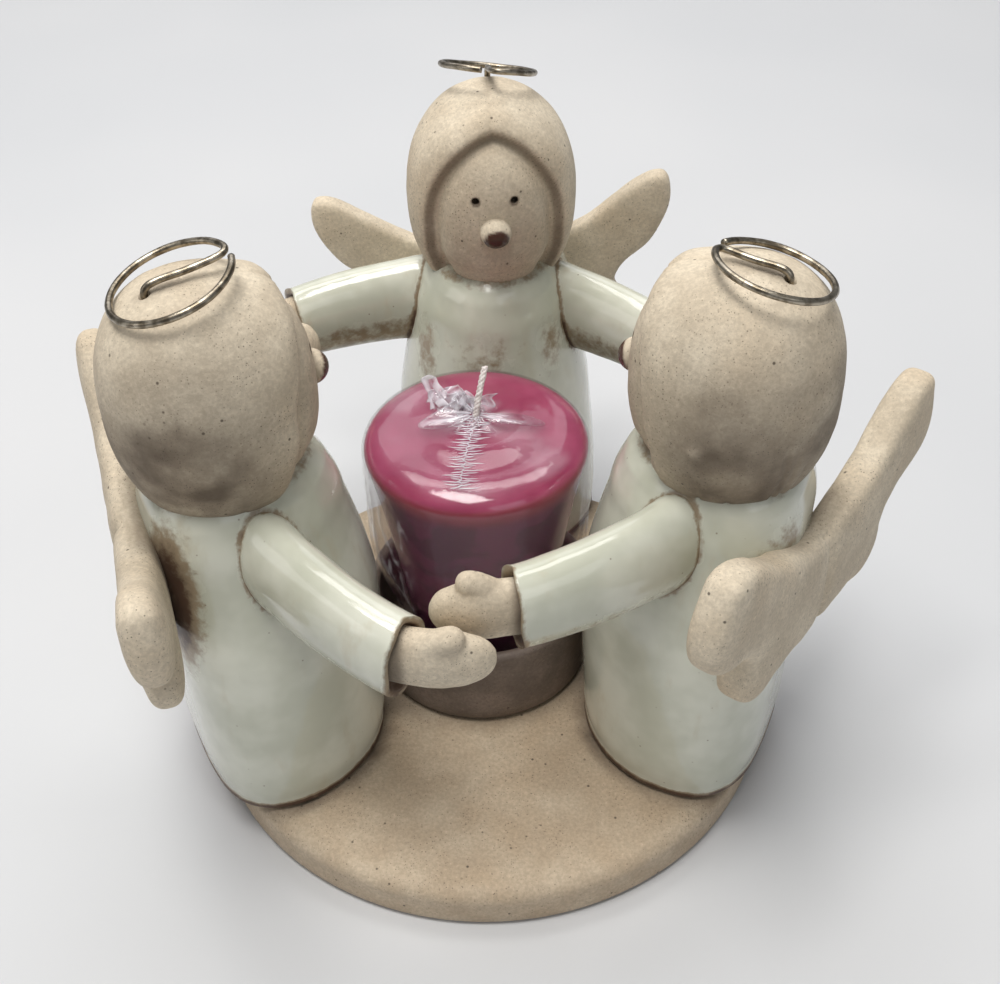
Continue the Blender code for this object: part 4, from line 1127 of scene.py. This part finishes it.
def candle_profile(grow):
    """(radius, height) from near the top's middle, over the shoulder, to the foot, grown for the film."""
    edge = candle_radius(1.0 - SHOULDER / CANDLE_H)
    points = [(r, CANDLE_TOP + grow) for r in np.linspace(2.2, 13.4, 15)]
    for a in np.linspace(0.0, math.pi / 2, 18):
        out, up = math.sin(a), math.cos(a)
        reach = edge - SHOULDER_W * (1 - out) + grow * out
        points.append((reach, CANDLE_TOP - SHOULDER * (1 - up) + grow * up))
    skirt = (CANDLE_H - SHOULDER - SKIRT_DROP) / CANDLE_H
    for share in np.linspace(0.90, 0.03, 40):
        reach = candle_radius(share)
        if grow > 0.0:
            reach = max(reach, blend(SKIRT_FOOT_R, SKIRT_TOP_R, eased(min(1.0, share / skirt))))
        points.append((reach + grow, CANDLE_FOOT + share * CANDLE_H))
    foot = CANDLE_FOOT - 0.9 * grow
    return points + [(candle_radius(0.0) + grow - 1.0, foot), (9.0, foot)]


def make_candle():
    profile = [(1.05, CANDLE_TOP)] + candle_profile(0.0) + [(1.05, CANDLE_FOOT)]
    points, faces = turned(profile, 120, RING)
    drop = smooth(points[:, 2], CANDLE_TOP - 1.0, CANDLE_TOP)
    points[:, 2] -= (0.05 + 0.05 * noise(points, 4.0, 3)) * drop
    # How far down the side each point lies, which places the wax's painted shade
    side = smooth(points[:, 2], CANDLE_TOP - 1.5, CANDLE_TOP - 9.0)
    mesh = make_mesh("candle_wax", points, faces, side=side)
    add_piece("candle_wax", mesh, WAX, ["candle"], "candle_unit")


def make_wick():
    """Three strands twisted round one another, leaning back."""
    top = CANDLE_TOP * UP
    line = [(CANDLE_FOOT + 1.0) * UP, top + 1.5 * UP]
    line += [top + WICK_LEAN * [share**2, share**2, share] for share in np.linspace(0.2, 0.99, 12)]
    path = resample(rounded(line, 2), 260)
    path[:, :2] += RING
    strands = []
    for phase in (0.0, 2.1, 4.2):
        turn = path[:, 2] * 3.2 + phase
        strand = path + 0.26 * np.column_stack([np.cos(turn), np.sin(turn), np.zeros(len(path))])
        radii = 0.36 + 0.05 * noise(strand, 0.8, int(phase * 10))
        strands.append(make_mesh("strand", *capped(tube(strand, radii, 8))))
    add_piece("candle_wick", joined("wick", strands), COTTON, ["wick"], "candle_unit")


def tent(r):
    """How far the film stands off the top of the wax, stretched from the wick to the shoulder."""
    return 1.15 * smooth(r, 14.2, 7.0)


def gathered(x, y):
    """Share by which the film is drawn up round the wick."""
    return bell(x, 0.0, 4.5) * bell(y, 1.5, 3.5)


def film_skin(grow):
    """Rows of the film's skin at a distance from the wax, and how cloudy it is at each point."""
    steps = 180
    profile = candle_profile(grow)
    p = np.vstack([level_ring(r, z, steps) for r, z in profile])
    x, y, z = p.T
    angle = np.arctan2(y, x)
    below = CANDLE_TOP - z
    top = below < 2.0
    side = smooth(below, 3.0, 10.0)
    loose = smooth(np.cos(angle - math.radians(196.0)), 0.55, 0.95)
    loose = 0.12 + 0.88 * (loose + 0.6 * smooth(np.cos(angle + math.radians(8.0)), 0.7, 0.98))
    drawn = np.column_stack([20.0 * np.cos(angle), 20.0 * np.sin(angle) + 0.22 * below, 0.09 * below])
    ridge = np.clip(1.0 - 2.6 * np.abs(fractal(drawn, 3.4, 4)), 0.0, 1.0) ** 2
    gather = gathered(x, y) * top
    folds = 0.5 + 0.5 * np.sin(7.0 * angle + 2.0 * noise(p, 3.0, 6))
    haze = smooth(below, 1.4, 0.1) * (0.045 + 0.06 * smooth(fractal(p, 9.0, 51), -0.3, 0.5))
    haze *= 1.0 - 0.8 * smooth(0.6 * x + 0.8 * y, 3.0, 10.0)
    crease = haze + 0.40 * smooth(ridge, 0.55, 1.0) * side * loose**2 + 0.35 * gather * folds
    lift = gather * (0.5 + 0.9 * folds) + tent(np.hypot(x, y)) * top
    moved = p + outward(p) * (0.32 * ridge * side * loose)[:, None] + np.outer(lift, UP)
    return moved.reshape(len(profile), steps, 3), np.clip(crease, 0.0, 1.0).reshape(len(profile), steps)


def make_film():
    """The film's closed skin: outer and inner faces that meet at the top's middle and under the foot."""
    outer, crease = film_skin(FILM_OUT)
    inner, _ = film_skin(FILM_IN)
    rows, steps = crease.shape
    points = np.vstack([outer, inner[::-1]]).reshape(-1, 3)
    points[:, :2] += RING
    both = np.vstack([crease, crease[::-1]]).ravel()
    faces = grid_faces(2 * rows, steps)
    last = (2 * rows - 1) * steps
    faces += [(last + j, last + (j + 1) % steps, (j + 1) % steps, j) for j in range(steps)]
    mesh = make_mesh("candle_film_clear", points, faces, crease=both)
    add_film("candle_film_clear", mesh, ["candle_film"])


def film_top(x, y):
    """Height of the film's upper side over the candle's top."""
    r = np.hypot(x, y)
    edge = candle_radius(1.0 - SHOULDER / CANDLE_H) - SHOULDER_W
    over = np.clip((r - edge) / SHOULDER_W, 0.0, 0.98)
    return CANDLE_TOP + 0.55 - SHOULDER * (1.0 - np.sqrt(1.0 - over**2)) + 0.7 * gathered(x, y) + tent(r)


def pleat(start, end, bow, thick, seed):
    """One crease of the film, lying on the top from start to end, thin at both ends."""
    t = np.linspace(0.0, 1.0, 14)
    start, go = np.array(start), np.subtract(end, start)
    flat = start + np.outer(t, go) + np.outer(bow * np.sin(math.pi * t), [-go[1], go[0]])
    flat += 0.12 * wobble(flat[:, [0, 1, 0]], 1.1, (seed, seed + 1))
    path = np.column_stack([flat + RING, film_top(*flat.T) + 0.02])
    radii = thick * (0.18 + 0.82 * np.sin(math.pi * (0.18 + 0.82 * t)))
    return make_mesh("pleat", *capped(tube(path, radii, 8)))


def make_seam():
    """The heat-drawn seam: a zigzag ridge from the wick to the front edge, with short crimps across it."""
    zig = []
    for i in range(30):
        zig.append((0.28 * (-1) ** i + 0.15 * math.sin(i * 2.3) - SEAM_SLANT * i, 1.5 - 0.62 * i))
    meshes = [pleat(*ends, 0.1, 0.17, i) for i, ends in enumerate(zip(zig, zig[1:]))]
    for k in range(30):
        x, y = -0.94 * SEAM_SLANT * k, 0.4 - 0.58 * k
        swing = 0.5 + 0.5 * math.sin(k * 1.9)
        left = (x - 1.4 - 2.0 * swing, y + 0.25 * math.sin(k))
        right = (x + 1.3 + 2.3 * (1 - swing), y - 0.2 * math.cos(k))
        meshes.append(pleat((x - 0.1, y), left, 0.05, 0.12, 40 + k))
        meshes.append(pleat((x + 0.1, y - 0.3), right, -0.05, 0.12, 80 + k))
    mesh = joined("seam", meshes)
    set_attributes(mesh, crease=0.62 + 0.25 * noise(mesh_points(mesh), 1.5, 9))
    add_film("candle_film_seam", mesh)


def sheet(front, rows, cols, thick, crease):
    """A thin closed sheet of film over a grid of points, as thick as the vector says."""
    points = np.vstack([front, front + np.array(thick)])
    points[:, :2] += RING
    count = rows * cols
    faces = grid_faces(rows, cols, wrap=False)
    faces += [tuple(count + i for i in face[::-1]) for face in faces]
    grid = np.arange(count).reshape(rows, cols)
    border = np.concatenate([grid[0], grid[1:, -1], grid[-1, -2::-1], grid[-2:0:-1, 0]]).tolist()
    for a, b in zip(border, border[1:] + border[:1]):
        faces.append((b, a, count + a, count + b))
    return make_mesh("sheet", points, faces, crease=np.clip(np.tile(crease, 2), 0.0, 1.0))


def make_fan():
    """Pleats that run out from the wick, with a long flat fold to either side and a raised flap."""
    rows, cols = 16, 150
    degrees, share = np.meshgrid(np.linspace(-82.0, 262.0, cols), np.linspace(0.12, 1.0, rows))
    degrees, share = degrees.ravel(), share.ravel()
    angle = np.radians(degrees)
    ring = np.column_stack([5.0 * np.cos(angle), 5.0 * np.sin(angle), np.zeros(len(angle))])
    raised = bell(degrees, 128.0, 42.0)
    reach = 2.6 + 0.9 * noise(ring, 1.6, 41) + 3.4 * raised
    reach += 6.6 * bell(degrees, 192.0, 20.0) + 9.0 * bell(degrees, 2.0, 15.0)
    x = reach * share * np.cos(angle)
    y = reach * share * np.sin(angle) + 0.4
    ridge = np.abs(np.sin(8.0 * angle + 1.6 * noise(ring, 2.5, 43))) ** 1.5
    inner = 1.0 - share
    z = film_top(x, y) + 0.04 + 0.6 * inner**1.3 * ridge + raised * share * (1.5 + 0.8 * ridge)
    crease = 0.16 * inner + 0.36 * ridge**3 * inner ** (0.8 - 0.5 * raised)
    crease += 0.35 * raised * smooth(share, 0.86, 1.0) + 0.10 * smooth(share, 0.90, 1.0)
    crease += 0.22 * bell(degrees, 192.0, 10.0) * inner**0.5
    add_film("candle_film_fan", sheet(np.column_stack([x, y, z]), rows, cols, (0.0, 0.0, -0.08), crease))


def make_tuft():
    """Crumpled flaps of loose film that stand up left of the wick and behind it."""
    rows, cols = 24, 44
    u, v = (grid.ravel() for grid in np.meshgrid(np.linspace(0.0, 1.0, cols), np.linspace(0.0, 1.0, rows)))
    meshes = []
    for k, (start, end, tall, waves) in enumerate(FLAPS):
        sway = 1.1 * np.sin(u * waves) + 0.9 * np.sin(u * 7.0 + 1.0)
        x = blend(start[0], end[0], u) + 0.9 * np.sin(v * 5.0 + u * 6.0 + k) * v
        y = blend(start[1], end[1], u) + sway * (0.25 + 0.55 * v) + 1.2 * v
        high = (tall - 0.5 * tall * u + 0.8 * np.sin(u * 11.0 + 2.0 * k)) * v
        front = np.column_stack([x, y, film_top(x, y) + high - 0.1])
        front += 0.26 * wobble(front, 1.3, range(61 + 5 * k, 64 + 5 * k))
        crease = 0.12 + 0.45 * np.abs(np.sin(u * waves + 0.8)) ** 4
        crease += 0.20 * smooth(v, 0.85, 1.0) + 0.12 * noise(front, 0.9, 67)
        meshes.append(sheet(front, rows, cols, (0.02, 0.12, 0.03), crease))
    add_film("candle_film_tuft", joined("tuft", meshes))


# Stage: the floor's half width is in millimetres, places and sizes of lamps and camera are in metres

FLOOR_HALF = 3000.0
LAMPS_TOWARDS = Vector((0.0, 0.0, 0.06))
# Place, size, power and colour of each lamp
LAMPS = {
    "window": ((-0.12, -0.12, 0.95), (0.50, 0.30), 6.0, (1.0, 0.98, 0.95)),
    "front_fill": ((0.55, -0.75, 0.75), (0.6, 0.5), 1.0, (0.95, 0.97, 1.0)),
    "back_panel": ((-0.15, 0.80, 0.72), (0.95, 0.45), 1.8, (0.97, 0.97, 1.0)),
    "top_strip": ((-0.05, 0.36, 0.92), (0.85, 0.28), 3.6, (1.0, 0.98, 0.96)),
    "left_fill": ((-0.85, -0.35, 0.45), (0.5, 0.5), 1.0, (1.0, 0.97, 0.94)),
}
WORLD_COLOUR, WORLD_STRENGTH = (0.93, 0.96, 1.0, 1.0), 0.20
CAMERA_PITCH, CAMERA_YAW, CAMERA_ROLL = 0.7208, -0.0805, -0.0211
CAMERA_PLACE = (0.01724, -0.17554, 0.20791)
CAMERA_LENS, CAMERA_SENSOR = 46.8, 36.0


def make_floor():
    corners = FLOOR_HALF * np.array([(-1, -1, 0), (1, -1, 0), (1, 1, 0), (-1, 1, 0)])
    mesh = make_mesh("floor", corners, [(0, 1, 2, 3)])
    floor = linked("floor", mesh)
    m = Nodes("floor_paper")
    m.set(Base_Color=m.mix(m.ramp(m.noise(180.0, 2.0), 0.3, 0.7), FLOOR_DARK, FLOOR_PALE), Roughness=0.85)
    mesh.materials.append(m.material)


def make_light():
    world = bpy.data.worlds.new("studio")
    world.use_nodes = True
    background = world.node_tree.nodes["Background"].inputs
    background["Color"].default_value = WORLD_COLOUR
    background["Strength"].default_value = WORLD_STRENGTH
    bpy.context.scene.world = world
    for name, (at, size, watts, colour) in LAMPS.items():
        lamp = bpy.data.lights.new(name, "AREA")
        lamp.shape = "RECTANGLE"
        lamp.size, lamp.size_y = size
        lamp.energy = watts
        lamp.color = colour
        holder = linked(name, lamp)
        holder.location = at
        holder.rotation_euler = (LAMPS_TOWARDS - Vector(at)).to_track_quat("-Z", "Y").to_euler()


def make_camera():
    """The photograph's camera, fitted to the base's edge, the cup's rim and the heads."""
    level = math.cos(CAMERA_PITCH)
    ahead = Vector((math.sin(CAMERA_YAW) * level, math.cos(CAMERA_YAW) * level, -math.sin(CAMERA_PITCH)))
    right = Vector((math.cos(CAMERA_YAW), -math.sin(CAMERA_YAW), 0.0))
    up = right.cross(ahead)
    across = math.cos(CAMERA_ROLL) * right + math.sin(CAMERA_ROLL) * up
    upward = math.cos(CAMERA_ROLL) * up - math.sin(CAMERA_ROLL) * right
    data = bpy.data.cameras.new("photo_camera")
    data.lens, data.sensor_width, data.sensor_fit = CAMERA_LENS, CAMERA_SENSOR, "HORIZONTAL"
    camera = linked("photo_camera", data)
    matrix = Matrix((across, upward, -ahead)).transposed().to_4x4()
    matrix.translation = CAMERA_PLACE
    camera.matrix_world = matrix
    bpy.context.scene.camera = camera


def main():
    bpy.context.scene.view_settings.view_transform = "Standard"
    make_camera()
    make_light()
    make_floor()
    make_base()
    make_cup()
    make_candle()
    make_wick()
    make_film()
    make_seam()
    make_fan()
    make_tuft()
    for which in AZIMUTHS:
        standing = figure_matrix(which)
        facing = standing @ rot_z(HEAD_TURNS[which])
        make_robe(which, standing)
        make_head(which, facing)
        make_nose(which, facing)
        make_halo(which, facing)
        make_wings(which, standing)
        for side in SIDES:
            make_sleeve(which, side, standing)
            make_hand(which, side, standing)


main()
